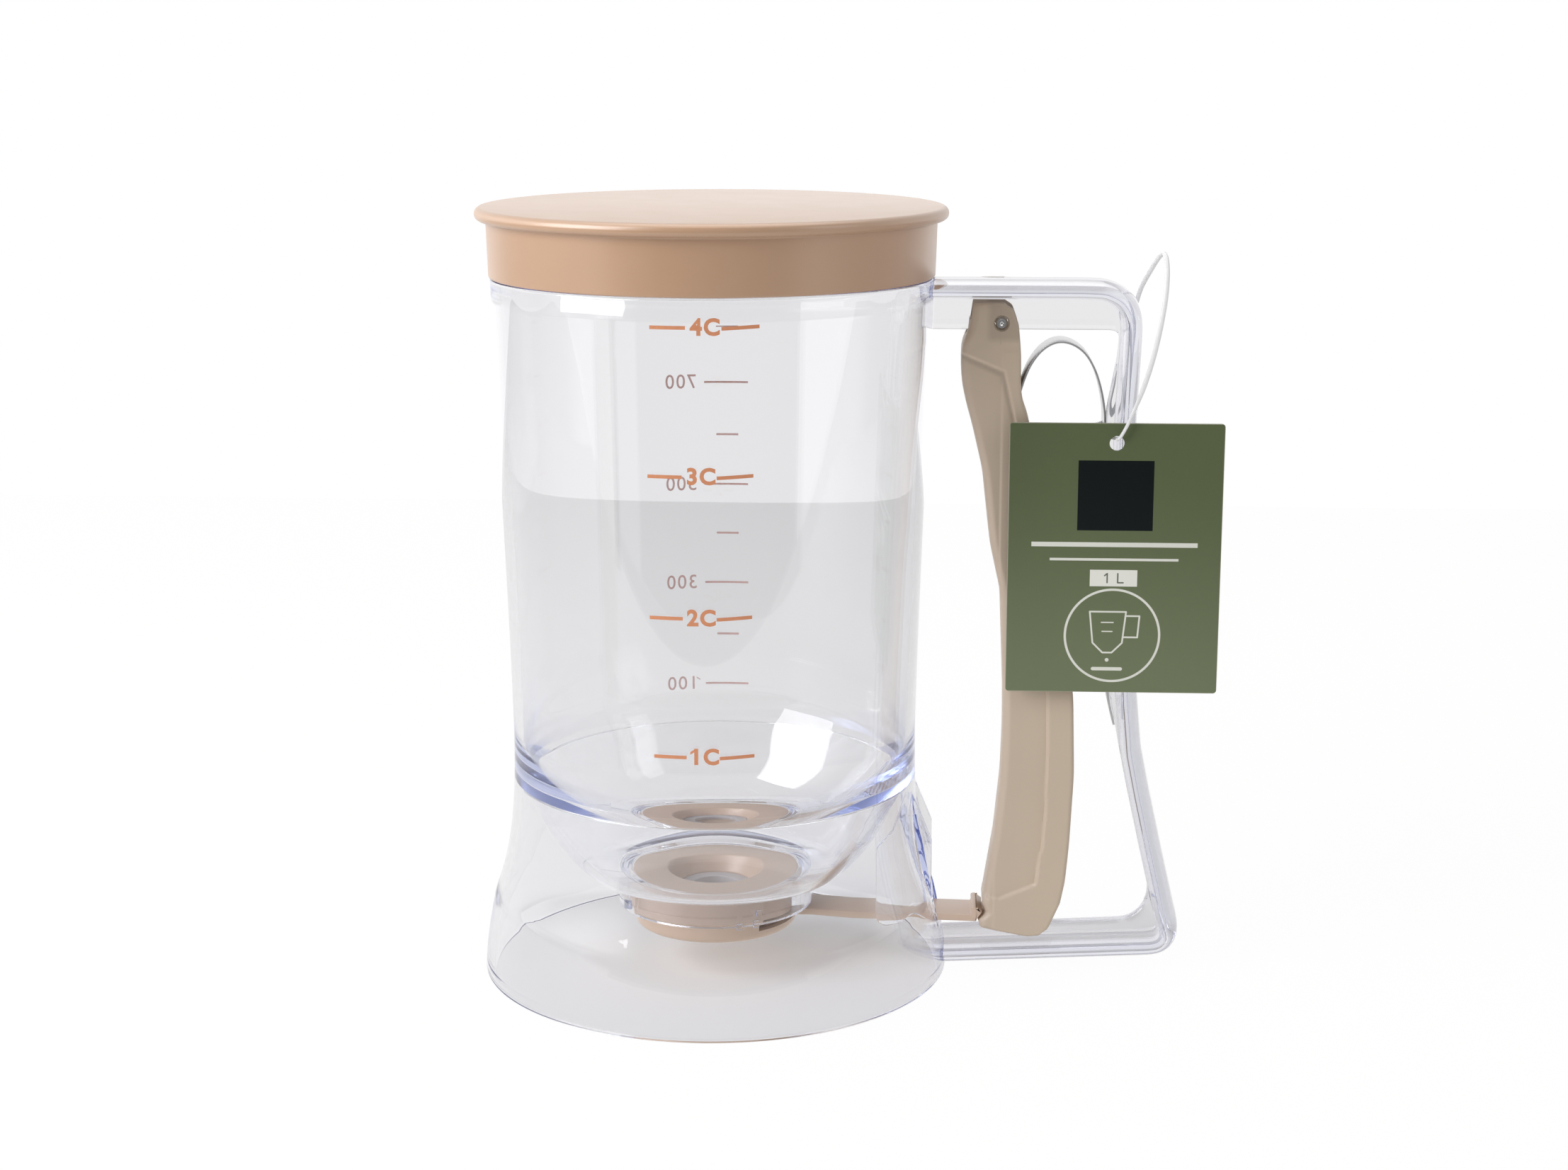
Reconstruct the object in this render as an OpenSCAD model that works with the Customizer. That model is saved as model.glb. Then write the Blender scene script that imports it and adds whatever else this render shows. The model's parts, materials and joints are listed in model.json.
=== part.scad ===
// Squeeze-handle batter dispenser.
// Cup axis on Z, foot on z = 0, handle along +X. Millimetres.

/* [Tank] */
// Outer radius of the tank wall just under the shoulder
tank_top_r = 52.8; // [51.5:0.1:54]
// Outer radius at the waist, the narrowest place
waist_r = 49.3; // [48.5:0.1:50]
// Height of the waist above the table
waist_z = 62; // [59:0.5:66]
// Height of the shoulder that the lid's skirt stands on
shoulder_z = 171.2; // [160:0.5:190]
// Wall thickness of the clear moulding
wall = 2.2; // [1.8:0.1:2.5]
// Height of the neck above the shoulder
neck_h = 13.1; // [11:0.1:16]
// How far the neck steps in from the tank wall
neck_inset = 1.5; // [1.2:0.1:2]

/* [Foot] */
// Outer radius of the foot at the table
foot_r = 57.4; // [56.5:0.1:59]
// Outer radius at the crease where the foot meets the flare
flare_r = 54.6; // [54:0.1:55.5]
// Height of that crease
foot_h = 19.3; // [17:0.1:21]
// Height of the true cylindrical band inside the foot
foot_band = 3; // [2:0.5:5]

/* [Slide guide] */
// Inner spacing of the two guide ribs
guide_w = 14.4; // [13:0.1:16]
// Thickness of each guide rib
guide_t = 1.8; // [1.4:0.1:2.2]
// Distance of the ribs' inner edge from the cup axis
guide_x = 39.8; // [38:0.1:42]
// Height of the window's lintel over the slide
window_z = 17.6; // [17:0.1:20]

/* [Bowl] */
// Height of the flange that rests on the tank's ledge
bowl_z = 49.5; // [48:0.5:52]
// Height of the bowl's flat underside
floor_z = 24; // [23.5:0.1:26]
// Radius of that flat underside
floor_r = 30; // [28:0.5:32]
// Wall thickness of the bowl
bowl_wall = 2; // [1.6:0.1:2.4]

/* [Valve] */
// Outer radius of the collar under the bowl
collar_r = 24; // [23.8:0.1:25]
// Bore of the collar
collar_bore_r = 21.2; // [20.8:0.1:21.4]
// Height of the collar below the bowl
collar_h = 8; // [7.2:0.1:8.2]
// Radius of the outlet through the seal
outlet_r = 6; // [5:0.1:6.4]
// Radius of the seat's body
seat_r = 18.2; // [17.5:0.1:18.4]
// Radius of the dispensing hole in the cap
mouth_r = 8; // [7:0.1:9]
// Wall and floor thickness of the cap
cap_wall = 1.5; // [1.2:0.1:1.6]
// Half angle of the cap's side notch
cap_notch = 52; // [50:1:56]

/* [Slide] */
// Width of the slide's arm
gate_w = 11.4; // [10:0.1:12]
// Thickness of the slide's arm and plate
gate_t = 1.7; // [1.4:0.1:1.8]
// Height of the plate's top face
gate_top_z = 15.5; // [15.3:0.1:15.6]
// Height of the hook's upright lip over the arm
lip_h = 4.9; // [4:0.1:5.5]

/* [Handle] */
// Distance from the cup axis to the outside of the upper grip
grip_x = 102.2; // [98:0.1:106]
// Distance from the cup axis to the outside of the heel
heel_x = 115; // [112:0.1:118]
// Width of the handle's crown
handle_w = 14; // [13:0.1:15]
// How far the crown's middle stands over its edges
crown_rise = 2.4; // [2:0.1:2.8]
// Thickness of the crown's edges
crown_edge = 1.8; // [1.4:0.1:2.2]
// Thickness of the central web
web_t = 2.8; // [2.4:0.1:3.2]
// Depth of the top bar from crown to web edge
web_depth = 12.6; // [12:0.1:14]

/* [Lever] */
// Distance from the cup axis to the lever's pivot
pivot_x = 68.6; // [67:0.1:70]
// Drop of the pivot below the top of the handle
pivot_drop = 10.4; // [10.2:0.1:11]
// Radius of the pivot pin
pin_r = 1.5; // [1.2:0.1:1.8]
// Thickness of the lever's two cheeks
cheek_t = 1.5; // [1.3:0.1:1.8]
// Thickness of the lever's front wall
front_t = 1.8; // [1.5:0.1:2]

/* [Spring] */
// Thickness of the spring strip
spring_t = 0.5; // [0.4:0.05:0.6]
// Width of the spring strip
spring_w = 10.4; // [8:0.1:10.6]

/* [Lid] */
// How far the lid's disc stands out past its skirt
lid_rim = 2.7; // [2:0.1:4]
// Thickness of the lid's disc
lid_t = 3.1; // [2.5:0.1:4]
// Thickness of the lid's skirt
lid_skirt_t = 1.7; // [1.4:0.1:2]
// Depth of the ring that locates the lid inside the neck
lid_ring_h = 5; // [4:0.5:8]

/* [Tag] */
// Width of the hang tag
tag_w = 50.4; // [40:0.1:55]
// Height of the hang tag
tag_h = 65.2; // [55:0.1:70]
// Thickness of the hang tag
tag_t = 0.5; // [0.4:0.1:0.8]
// Radius of the hole in the tag
tag_hole_r = 1.8; // [1.6:0.1:2.2]
// Radius of the loop's filament
loop_r = 0.5; // [0.4:0.05:0.6]

/* [Fits] */
// Gap between curved faces that move or are pulled apart
free_gap = 0.3; // [0.2:0.05:0.35]
// Gap between flat faces that slide on each other
slide_gap = 0.1; // [0.05:0.01:0.15]
// Radial running clearance of the lever on its pin
pin_gap = 0.05; // [0.03:0.01:0.08]

/* [Hidden] */
eps = 0.01;
fine = 120;

clear_plastic = [0.86, 0.89, 0.95, 0.45];
beige = [0.79, 0.71, 0.62];
steel = [0.72, 0.72, 0.72];
silicone = [0.8, 0.8, 0.78];
card = [0.38, 0.46, 0.29];
nylon = [0.9, 0.92, 0.95, 0.7];

// ---------- heights and radii that several pieces share ----------
neck_r = tank_top_r - neck_inset;
neck_top = shoulder_z + neck_h;
neck_wall = wall - 0.5;
handle_top = shoulder_z;
pivot_z = handle_top - pivot_drop;
ledge_t = 2;
ledge_w = 1.5;
foot_bore_r = foot_r - wall - 0.1;
collar_z = floor_z - collar_h;
seat_flange_t = 2;
seat_z = gate_top_z + slide_gap + 0.2;
seal_z = gate_top_z + slide_gap;
cap_top = floor_z - seat_flange_t - slide_gap;
cap_r = collar_bore_r - free_gap;
cap_skirt_r = seat_r + free_gap + cap_wall;
cap_z = gate_top_z - gate_t - 3.1;
gate_z = gate_top_z - gate_t;
arm_drop = 1.3;
arm_top = gate_top_z - arm_drop;
hook_z = arm_top + 0.6;
hook_x = pivot_x - 1.4;

// ---------- profiles ----------
// Outer radius of the clear shell at height z
function shell_r(z) =
    z >= waist_z ? waist_r + (tank_top_r - waist_r)
        * pow((z - waist_z) / (shoulder_z - waist_z), 1.15)
    : z >= foot_h ? waist_r + (flare_r - waist_r) * pow((waist_z - z) / (waist_z - foot_h), 3)
    : foot_r - (foot_r - flare_r) * pow(z / foot_h, 1.6);

function lerp(a, b, t) = a + (b - a) * t;
foot_levels = [for (t = [0.2:0.2:0.8]) foot_h * t];
flare_levels = [for (t = [0:1 / 7:0.999]) lerp(foot_h, waist_z, t)];
tank_levels = [for (t = [0:0.25:1]) lerp(waist_z, shoulder_z, t)];
shell_levels = concat([0], foot_levels, flare_levels, tank_levels);
skirt_levels = [for (z = shell_levels) if (z > foot_band && z < bowl_z - ledge_t) z];
inner_levels = [for (z = shell_levels) if (z > bowl_z && z < shoulder_z - 5) z];

// Points of an arc in a plane, a0 to a1 in n steps
function arc(cx, cz, r, a0, a1, n) =
    [for (i = [0:n]) let (a = lerp(a0, a1, i / n)) [cx + r * cos(a), cz + r * sin(a)]];

// Unit tangent and left normal of a flat path at point i
function tangent(p, i) =
    let (d = p[min(i + 1, len(p) - 1)] - p[max(i - 1, 0)]) d / norm(d);
function normal(p, i) = let (t = tangent(p, i)) [-t[1], t[0]];
function shifted(p, d) = [for (i = [0:len(p) - 1]) p[i] + d * normal(p, i)];
function reversed(p) = [for (i = [len(p) - 1:-1:0]) p[i]];

// A closed band of width t along a flat path
function band(p, t) = concat(shifted(p, t / 2), reversed(shifted(p, -t / 2)));

// Draws a flat outline in the XZ plane and gives it the width w, centred on y = 0
module upright(w) rotate([90, 0, 0]) linear_extrude(w, center = true) children();

// A solid through rings of points; closed joins the last ring to the first
module skin(rings, closed = false) {
    n = len(rings);
    m = len(rings[0]);
    sides = [for (i = [0:n - (closed ? 1 : 2)], j = [0:m - 1])
        [i * m + j, i * m + (j + 1) % m, ((i + 1) % n) * m + (j + 1) % m, ((i + 1) % n) * m + j]];
    ends = closed ? [] : [[for (j = [m - 1:-1:0]) j], [for (j = [0:m - 1]) (n - 1) * m + j]];
    polyhedron([for (r = rings) each r], concat(sides, ends), convexity = 8);
}

// ---------- clear tank with its flared foot ----------
module shell_solid() rotate_extrude($fn = fine)
    polygon(concat([[0, 0]], [for (z = shell_levels) [shell_r(z), z]], [[0, shoulder_z]]));

module round_shell() rotate_extrude($fn = fine) polygon(concat(
    [[foot_bore_r, 0]],
    [for (z = shell_levels) [shell_r(z), z]],
    [[neck_r, shoulder_z], [neck_r, neck_top], [neck_r - neck_wall, neck_top],
     [neck_r - neck_wall, shoulder_z], [shell_r(shoulder_z - 5) - wall, shoulder_z - 5]],
    reversed([for (z = inner_levels) [shell_r(z) - wall, z]]),
    [[shell_r(bowl_z) - wall, bowl_z], [shell_r(bowl_z) - wall - ledge_w, bowl_z],
     [shell_r(bowl_z) - wall - ledge_w, bowl_z - ledge_t],
     [shell_r(bowl_z - ledge_t) - wall, bowl_z - ledge_t]],
    reversed([for (z = skirt_levels) [shell_r(z) - wall, z]]),
    [[foot_bore_r, foot_band]]));

guide_out = guide_w + 2 * guide_t;
panel_top = 40;
panel_drop = 1.4;
rib_z = 12;

// Outer face of the flat panel over the slide's window
function panel_x(z) = lerp(shell_r(panel_top), shell_r(window_z) - panel_drop / 2,
    (panel_top - z) / (panel_top - window_z));

// Side outline of a guide rib: clear of the bowl above, arched over the arm's way below
function rib_outline() = concat(
    arc(guide_x + 3, rib_z + 3, 3, 180, 270, 4),
    [[guide_x + 4.5, rib_z], [guide_x + 7, rib_z + 2.6], [guide_x + 11, rib_z + 3.2],
     [flare_r + 4, rib_z + 1.5], [flare_r + 4, bowl_z - ledge_t - 1],
     [guide_x + 6.6, bowl_z - ledge_t - 1], [guide_x + 3.6, 36.5], [guide_x, 32.2]]);

module tank_shell() color(clear_plastic) {
    difference() {
        round_shell();
        translate([guide_x + 5, -guide_w / 2, rib_z - 1])
            cube([20, guide_w, panel_top - rib_z + 1]);
    }
    intersection() {
        for (s = [-1, 1]) translate([0, s * (guide_w + guide_t) / 2, 0])
            upright(guide_t) polygon(rib_outline());
        shell_solid();
    }
    upright(guide_w + 2 * eps) polygon([
        [panel_x(panel_top), panel_top], [panel_x(window_z), window_z],
        [panel_x(window_z) - wall, window_z], [panel_x(panel_top) - wall, panel_top]]);
}

// ---------- clear bowl with the valve collar ----------
bowl_rim_r = waist_r - wall - slide_gap;
bowl_out_r = bowl_rim_r - ledge_w - slide_gap;
bowl_steps = 8;

// Outer profile of the bowl, a quarter of a superellipse from the flat floor to the flange
function bowl_point(t) = [
    floor_r + (bowl_out_r - floor_r) * pow(sin(90 * t), 1.6),
    bowl_z - (bowl_z - floor_z) * pow(cos(90 * t), 1.25)];
function bowl_outer() = [for (i = [0:bowl_steps]) bowl_point(i / bowl_steps)];

floor_lip = 1.2;
outlet_hole_r = collar_bore_r - floor_lip;
groove_z = collar_z + 2.4;
groove_h = 2.4;
groove_r = cap_r + 2;
lug_angles = [90, 180, 270];
lug_span = 12;
twist = 30;

module sector(r, h, a0, span) rotate([0, 0, a0]) rotate_extrude(angle = span, $fn = fine)
    square([r, h]);

module bayonet_groove(a) {
    translate([0, 0, groove_z])
        sector(groove_r, groove_h, a - lug_span / 2 - 1, lug_span + twist + 3);
    translate([0, 0, collar_z - 1])
        sector(groove_r, groove_z - collar_z + 2, a + twist - lug_span / 2 - 1, lug_span + 2);
}

module funnel_bowl() color(clear_plastic) difference() {
    rotate_extrude($fn = fine) polygon(concat(
        [[outlet_hole_r, floor_z], [collar_bore_r, floor_z], [collar_bore_r, collar_z],
         [collar_r, collar_z], [collar_r, floor_z]],
        bowl_outer(),
        [[bowl_rim_r, bowl_z], [bowl_rim_r, bowl_z + 2], [bowl_out_r - bowl_wall, bowl_z + 2]],
        reversed(shifted(bowl_outer(), bowl_wall)),
        [[outlet_hole_r, floor_z + bowl_wall]]));
    for (a = lug_angles) bayonet_groove(a);
}

// ---------- valve ----------
dish_drop = 5;
dish_top_r = 12.5;
dish_bottom_r = outlet_r + 3.2;
dish_bottom_z = floor_z - dish_drop;
seal_neck_r = outlet_r + 1.5;
seal_flange_t = 0.6;
seal_flange_z = dish_bottom_z - seal_flange_t;
seal_lip_r = outlet_r + 2.6;
seal_lip_t = 1;

module valve_seat() color(beige) rotate_extrude($fn = fine) polygon([
    [seal_lip_r, seat_z], [seat_r, seat_z], [seat_r, floor_z - seat_flange_t],
    [cap_r, floor_z - seat_flange_t], [cap_r, floor_z], [dish_top_r, floor_z],
    [dish_bottom_r, dish_bottom_z], [dish_bottom_r, seal_flange_z], [seal_neck_r, seal_flange_z],
    [seal_neck_r, seal_z + seal_lip_t], [seal_lip_r, seal_z + seal_lip_t]]);

module valve_seal() color(silicone) rotate_extrude($fn = fine) polygon([
    [outlet_r, seal_z], [seal_lip_r, seal_z], [seal_lip_r, seal_z + seal_lip_t],
    [seal_neck_r, seal_z + seal_lip_t], [seal_neck_r, seal_flange_z],
    [dish_bottom_r, seal_flange_z], [dish_bottom_r, dish_bottom_z], [outlet_r, dish_bottom_z]]);

guide_ring_t = 2;
module base_cap() color(beige) {
    difference() {
        rotate_extrude($fn = fine) polygon(concat(
            [[mouth_r, cap_z]],
            arc(cap_skirt_r - 1.2, cap_z + 1.2, 1.2, -90, 0, 3),
            [[cap_skirt_r, collar_z - slide_gap], [cap_r, collar_z + 0.4], [cap_r, cap_top],
             [seat_r + free_gap, cap_top], [seat_r + free_gap, cap_z + cap_wall],
             [mouth_r + guide_ring_t, cap_z + cap_wall],
             [mouth_r + guide_ring_t, gate_z - slide_gap],
             [mouth_r, gate_z - slide_gap]]));
        translate([0, 0, cap_z + 2.3]) difference() {
            sector(cap_r + 1, cap_top, -cap_notch, 2 * cap_notch);
            translate([0, 0, -1]) cylinder(r = mouth_r + guide_ring_t + 1, h = cap_top + 2, $fn = fine);
        }
    }
    for (a = lug_angles) translate([0, 0, groove_z + slide_gap * 2])
        rotate([0, 0, a - lug_span / 2]) rotate_extrude(angle = lug_span, $fn = fine)
            translate([cap_r - 1, 0]) square([groove_r - free_gap - cap_r + 1, groove_h - 4 * slide_gap]);
}

// ---------- slide ----------
lip_x = hook_x - 2.2;
lip_t = 1.3;
plate_r = outlet_r + 1.6;
neck_w = 5.2;
cross_x = hook_x + front_t + free_gap;
arm_bottom = arm_top - gate_t;

module slide_gate() color(beige) {
    upright(gate_w) polygon([
        [0, gate_top_z], [collar_r, gate_top_z], [34, gate_top_z - 0.7], [lip_x - lip_t, arm_top],
        [lip_x - lip_t, arm_top + lip_h], [lip_x, arm_top + lip_h],
        [lip_x, hook_z + 1], [hook_x - 0.8, hook_z + 0.1], [lip_x, arm_bottom + 0.4],
        [lip_x, arm_bottom], [34, gate_z - 0.7], [collar_r, gate_z], [0, gate_z]]);
    translate([0, 0, gate_z]) cylinder(r = plate_r, h = gate_t, $fn = fine);
    translate([lip_x - eps, -neck_w / 2, arm_bottom])
        cube([cross_x - lip_x + 2 * eps, neck_w, 2.4]);
    translate([cross_x, -4.8, arm_bottom - 0.2]) cube([1.6, 9.6, 3.2]);
}

// ---------- handle ----------
corner_r = 11;
heel_r = 7;
heel_z = 10.4;
bar_slope = 0.053;
crown_t = crown_rise + crown_edge;

// Line of the crown's outer ridge, from the upper root round to the lower one
function ridge() = concat(
    [[tank_top_r - 4, handle_top], [lerp(tank_top_r, grip_x, 0.4), handle_top]],
    arc(grip_x - corner_r, handle_top - corner_r, corner_r, 90, 0, 6),
    [[grip_x - 0.2, handle_top - 18.4], [grip_x - 0.8, handle_top - 32],
     [grip_x - 1.0, handle_top - 48], [grip_x - 0.7, handle_top - 66],
     [heel_x - 12.8, 86], [heel_x - 11.8, 70], [heel_x - 10.5, 57], [heel_x - 8.3, 46.5],
     [heel_x - 5, 32], [heel_x - 1.8, 18.5]],
    arc(heel_x - heel_r, heel_z, heel_r, 13, -87, 6),
    [[85, heel_z - heel_r - bar_slope * (heel_x - heel_r - 85)],
     [foot_r - 4, heel_z - heel_r - bar_slope * (heel_x - heel_r - foot_r + 4)]]);

// Cross-section of the crown: [across, outward]
crown_section = [
    [-handle_w / 2, -crown_t], [-handle_w / 2, -crown_rise], [-handle_w * 0.38, -crown_rise * 0.48],
    [-handle_w * 0.2, -crown_rise * 0.12], [0, 0], [handle_w * 0.2, -crown_rise * 0.12],
    [handle_w * 0.38, -crown_rise * 0.48], [handle_w / 2, -crown_rise], [handle_w / 2, -crown_t]];

function crown_ring(p, i) = [for (s = crown_section)
    let (q = p[i] + s[1] * normal(p, i)) [q[0], s[0], q[1]]];

// Edge of the web that faces the fingers, from the upper root to the lower one
function web_edge() = [
    [tank_top_r - 4, handle_top - web_depth], [grip_x - 7.5, handle_top - web_depth],
    [grip_x - 5.8, handle_top - web_depth - 0.7], [grip_x - 6.3, handle_top - 18.4],
    [grip_x - 7.2, handle_top - 25.1], [grip_x - 8.3, handle_top - 30.8],
    [grip_x - 8.4, handle_top - 46], [grip_x - 8, handle_top - 66],
    [heel_x - 19.8, 86], [heel_x - 18.8, 70], [heel_x - 16.9, 62.2], [heel_x - 14.1, 49.3],
    [heel_x - 11.3, 37.1], [heel_x - 8.1, 22.7], [heel_x - 9.1, 16], [heel_x - 11.2, 13.2],
    [heel_x - 12.6, 12.4], [foot_r - 4, 12.4 - bar_slope * (heel_x - 12.6 - foot_r + 4)]];

boss_r = pin_r + 2;

module handle_frame() color(clear_plastic) difference() {
    union() {
        skin([for (i = [0:len(ridge()) - 1]) crown_ring(ridge(), i)]);
        upright(web_t) polygon(concat(shifted(ridge(), -crown_t + 1), reversed(web_edge())));
        translate([pivot_x, 0, pivot_z]) rotate([90, 0, 0])
            cylinder(r = boss_r, h = web_t + 1.6, center = true, $fn = 48);
    }
    translate([pivot_x, 0, pivot_z]) rotate([90, 0, 0])
        cylinder(r = pin_r, h = handle_w, center = true, $fn = 48);
    shell_solid();
}

// ---------- lever ----------
// Side outline; the upper points hang from the pivot and the lower ones stand at the hook
function from_pivot(x, z) = [pivot_x + x, pivot_z + z];
function from_hook(x, z) = [hook_x + x, hook_z + z];

function lever_back() = [
    from_pivot(0.7, 4.6), from_pivot(2.7, 3.3), from_pivot(4.1, -0.4), from_pivot(4.7, -7.1),
    from_pivot(4.8, -16), from_pivot(5.6, -19.6), from_pivot(7.1, -23.6),
    from_hook(19.6, 61), from_hook(20.3, 55), from_hook(20.9, 36), from_hook(20.1, 18),
    from_hook(19.3, 8.5), from_hook(18.2, 2.9), from_hook(15.4, -3.6), from_hook(12.8, -5.6),
    from_hook(9.7, -6.1)];
function lever_front() = [
    from_hook(-1.3, -3.9), from_hook(-1.9, -1.9), from_hook(0, 0), from_hook(-1, 2.5),
    from_hook(-0.1, 8.6), from_hook(1.7, 20.1), from_hook(3.1, 35.1), from_hook(3.4, 47),
    from_hook(3.3, 56.3), from_hook(2.2, 81), from_pivot(-1.9, -53), from_pivot(-4, -35),
    from_pivot(-6.6, -24.2), from_pivot(-8.1, -19), from_pivot(-9.2, -14),
    from_pivot(-9.4, -9), from_pivot(-9.3, -5), from_pivot(-7.8, -2.2), from_pivot(-6.8, 4.8)];

// Inside of the channel behind the front wall, open to the back, above and below
notch_points = 4;
function front_above_notch() =
    [for (i = [notch_points:len(lever_front()) - 1]) lever_front()[i]];
function channel() = concat(
    [from_hook(front_t, -9), from_hook(front_t, 4)], shifted(front_above_notch(), -front_t),
    [from_pivot(front_t - 6.8, 12), from_pivot(20, 12), from_pivot(30, -40), from_hook(40, 10),
     from_hook(40, -9)]);

module trigger_lever() color(beige) difference() {
    upright(handle_w) polygon(concat(lever_back(), lever_front()));
    upright(handle_w - 2 * cheek_t) polygon(channel());
    translate([hook_x - 4, -neck_w / 2 - 0.6, hook_z - 8]) cube([front_t + 5, neck_w + 1.2, 10]);
    translate([pivot_x - 14, -web_t / 2 - 0.6, pivot_z - pivot_drop + 7.2])
        cube([14, web_t + 1.2, 12]);
    translate([pivot_x, 0, pivot_z]) rotate([90, 0, 0])
        cylinder(r = pin_r + pin_gap, h = handle_w + 2, center = true, $fn = 48);
}

module pivot_pin() color(steel) translate([pivot_x, 0, pivot_z]) rotate([90, 0, 0])
    cylinder(r = pin_r, h = handle_w - 0.6, center = true, $fn = 48);

// ---------- spring ----------
spring_seat = spring_t / 2 + slide_gap;
function spring_line() = [
    from_pivot(-1, -39.6), from_pivot(0.6, -31.6), from_pivot(4.7, -16.4), from_pivot(5.4, -13.8),
    from_pivot(6.9, -10), from_pivot(9.2, -6.7), from_pivot(12, -4.7), from_pivot(14.3, -4.2),
    from_pivot(17.4, -5.1), [grip_x - 13.4, handle_top - 17.7], [grip_x - 11.1, handle_top - 21.9],
    [grip_x - 9.7, handle_top - 26.5], [grip_x - 8.3 - spring_seat, handle_top - 32],
    [grip_x - 8.4 - spring_seat, handle_top - 46], [grip_x - 8 - spring_seat, handle_top - 66],
    [heel_x - 19.8 - spring_seat, 86], [heel_x - 18.8 - spring_seat, 70],
    [heel_x - 17.2 - spring_seat, 63.2]];

module leaf_spring() color(steel) upright(spring_w) polygon(band(spring_line(), spring_t));

// ---------- lid ----------
lid_z = neck_top + free_gap;
skirt_in_r = neck_r + free_gap;
lid_r = skirt_in_r + lid_skirt_t + lid_rim;
ring_out_r = neck_r - neck_wall - free_gap;
ring_t = 1.2;

module lid() color(beige) rotate_extrude($fn = fine) polygon([
    [0, lid_z], [ring_out_r - ring_t, lid_z], [ring_out_r - ring_t, lid_z - lid_ring_h],
    [ring_out_r, lid_z - lid_ring_h], [ring_out_r, lid_z], [skirt_in_r, lid_z],
    [skirt_in_r, shoulder_z + slide_gap], [skirt_in_r + lid_skirt_t - 0.4, shoulder_z + slide_gap],
    [skirt_in_r + lid_skirt_t, lid_z], [lid_r - 0.7, lid_z], [lid_r, lid_z + 0.8],
    [lid_r, lid_z + lid_t - 0.8], [lid_r - 0.7, lid_z + lid_t], [0, lid_z + lid_t]]);

// ---------- hang tag and its loop ----------
tag_y = -10.5;
hole_x = grip_x - 6.2;
hole_z = handle_top - 38;
tag_corner = 1.5;

module tag_outline() translate([hole_x - tag_w / 2, hole_z - tag_h + 4.8]) hull()
    for (x = [tag_corner, tag_w - tag_corner], z = [tag_corner, tag_h - tag_corner])
        translate([x, z]) circle(tag_corner, $fn = 32);

module hang_tag() color(card) translate([0, tag_y, 0]) difference() {
    upright(tag_t) tag_outline();
    translate([hole_x, 0, hole_z]) rotate([90, 0, 0])
        cylinder(r = tag_hole_r, h = 4, center = true, $fn = 48);
}

// Route of the filament through the tag's hole, over the handle's corner and back
// through the window; offsets from the hole, closed on itself
loop_lift = tag_hole_r - loop_r - free_gap;
loop_route = [
    [-0.1, 0.6, loop_lift], [0.1, -0.6, loop_lift], [0.8, -1.4, loop_lift + 0.9],
    [2.2, -1.6, 4.6], [4, -1.3, 8.8], [5.9, -0.3, 13.4], [7.9, 1.2, 19.6], [9.7, 2.6, 26.4],
    [11.2, 4.6, 33.2], [12.1, 7, 38.6], [12.2, 9.3, 42], [11.2, 11.6, 43.6], [9.8, 13.6, 42.8],
    [8, 15.8, 39.6], [6, 17.6, 34.6], [4.2, 18.2, 29.4], [2.4, 18.2, 23.6], [0, 18.2, 17],
    [-2.8, 17.8, 12], [-4.6, 15.9, 8.2], [-5.8, 12.8, 5.6], [-5.8, 9.4, 4],
    [-4.9, 6.3, 2.8], [-3.2, 3.7, 1.7], [-1.2, 1.8, loop_lift + 0.1]];
loop_sides = 8;

function ring_dir(p, i) = let (n = len(p), d = p[(i + 1) % n] - p[(i + n - 1) % n]) d / norm(d);
function loop_ring(p, i) = let (
        t = ring_dir(p, i), u0 = cross(t, [0.3, 0.2, -1]), u = u0 / norm(u0), v = cross(t, u))
    [for (k = [0:loop_sides - 1]) let (a = 360 * k / loop_sides)
        p[i] + loop_r * (cos(a) * u + sin(a) * v)];

module tag_loop() color(nylon) translate([hole_x, tag_y, hole_z])
    skin([for (i = [0:len(loop_route) - 1]) loop_ring(loop_route, i)], closed = true);

tank_shell();
funnel_bowl();
handle_frame();
lid();
trigger_lever();
pivot_pin();
leaf_spring();
slide_gate();
valve_seat();
valve_seal();
base_cap();
hang_tag();
tag_loop();
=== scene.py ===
"""Looks of a squeeze-handle batter dispenser.

A clear tank with a bowl and a handle, a beige lid, lever, slide and valve, a steel pin and spring,
and a printed card tag on a nylon loop.  Lengths are in millimetres and turn into metres when a mesh
is made.  Every piece lies where its CAD node does.
"""
import json
import math

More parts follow.
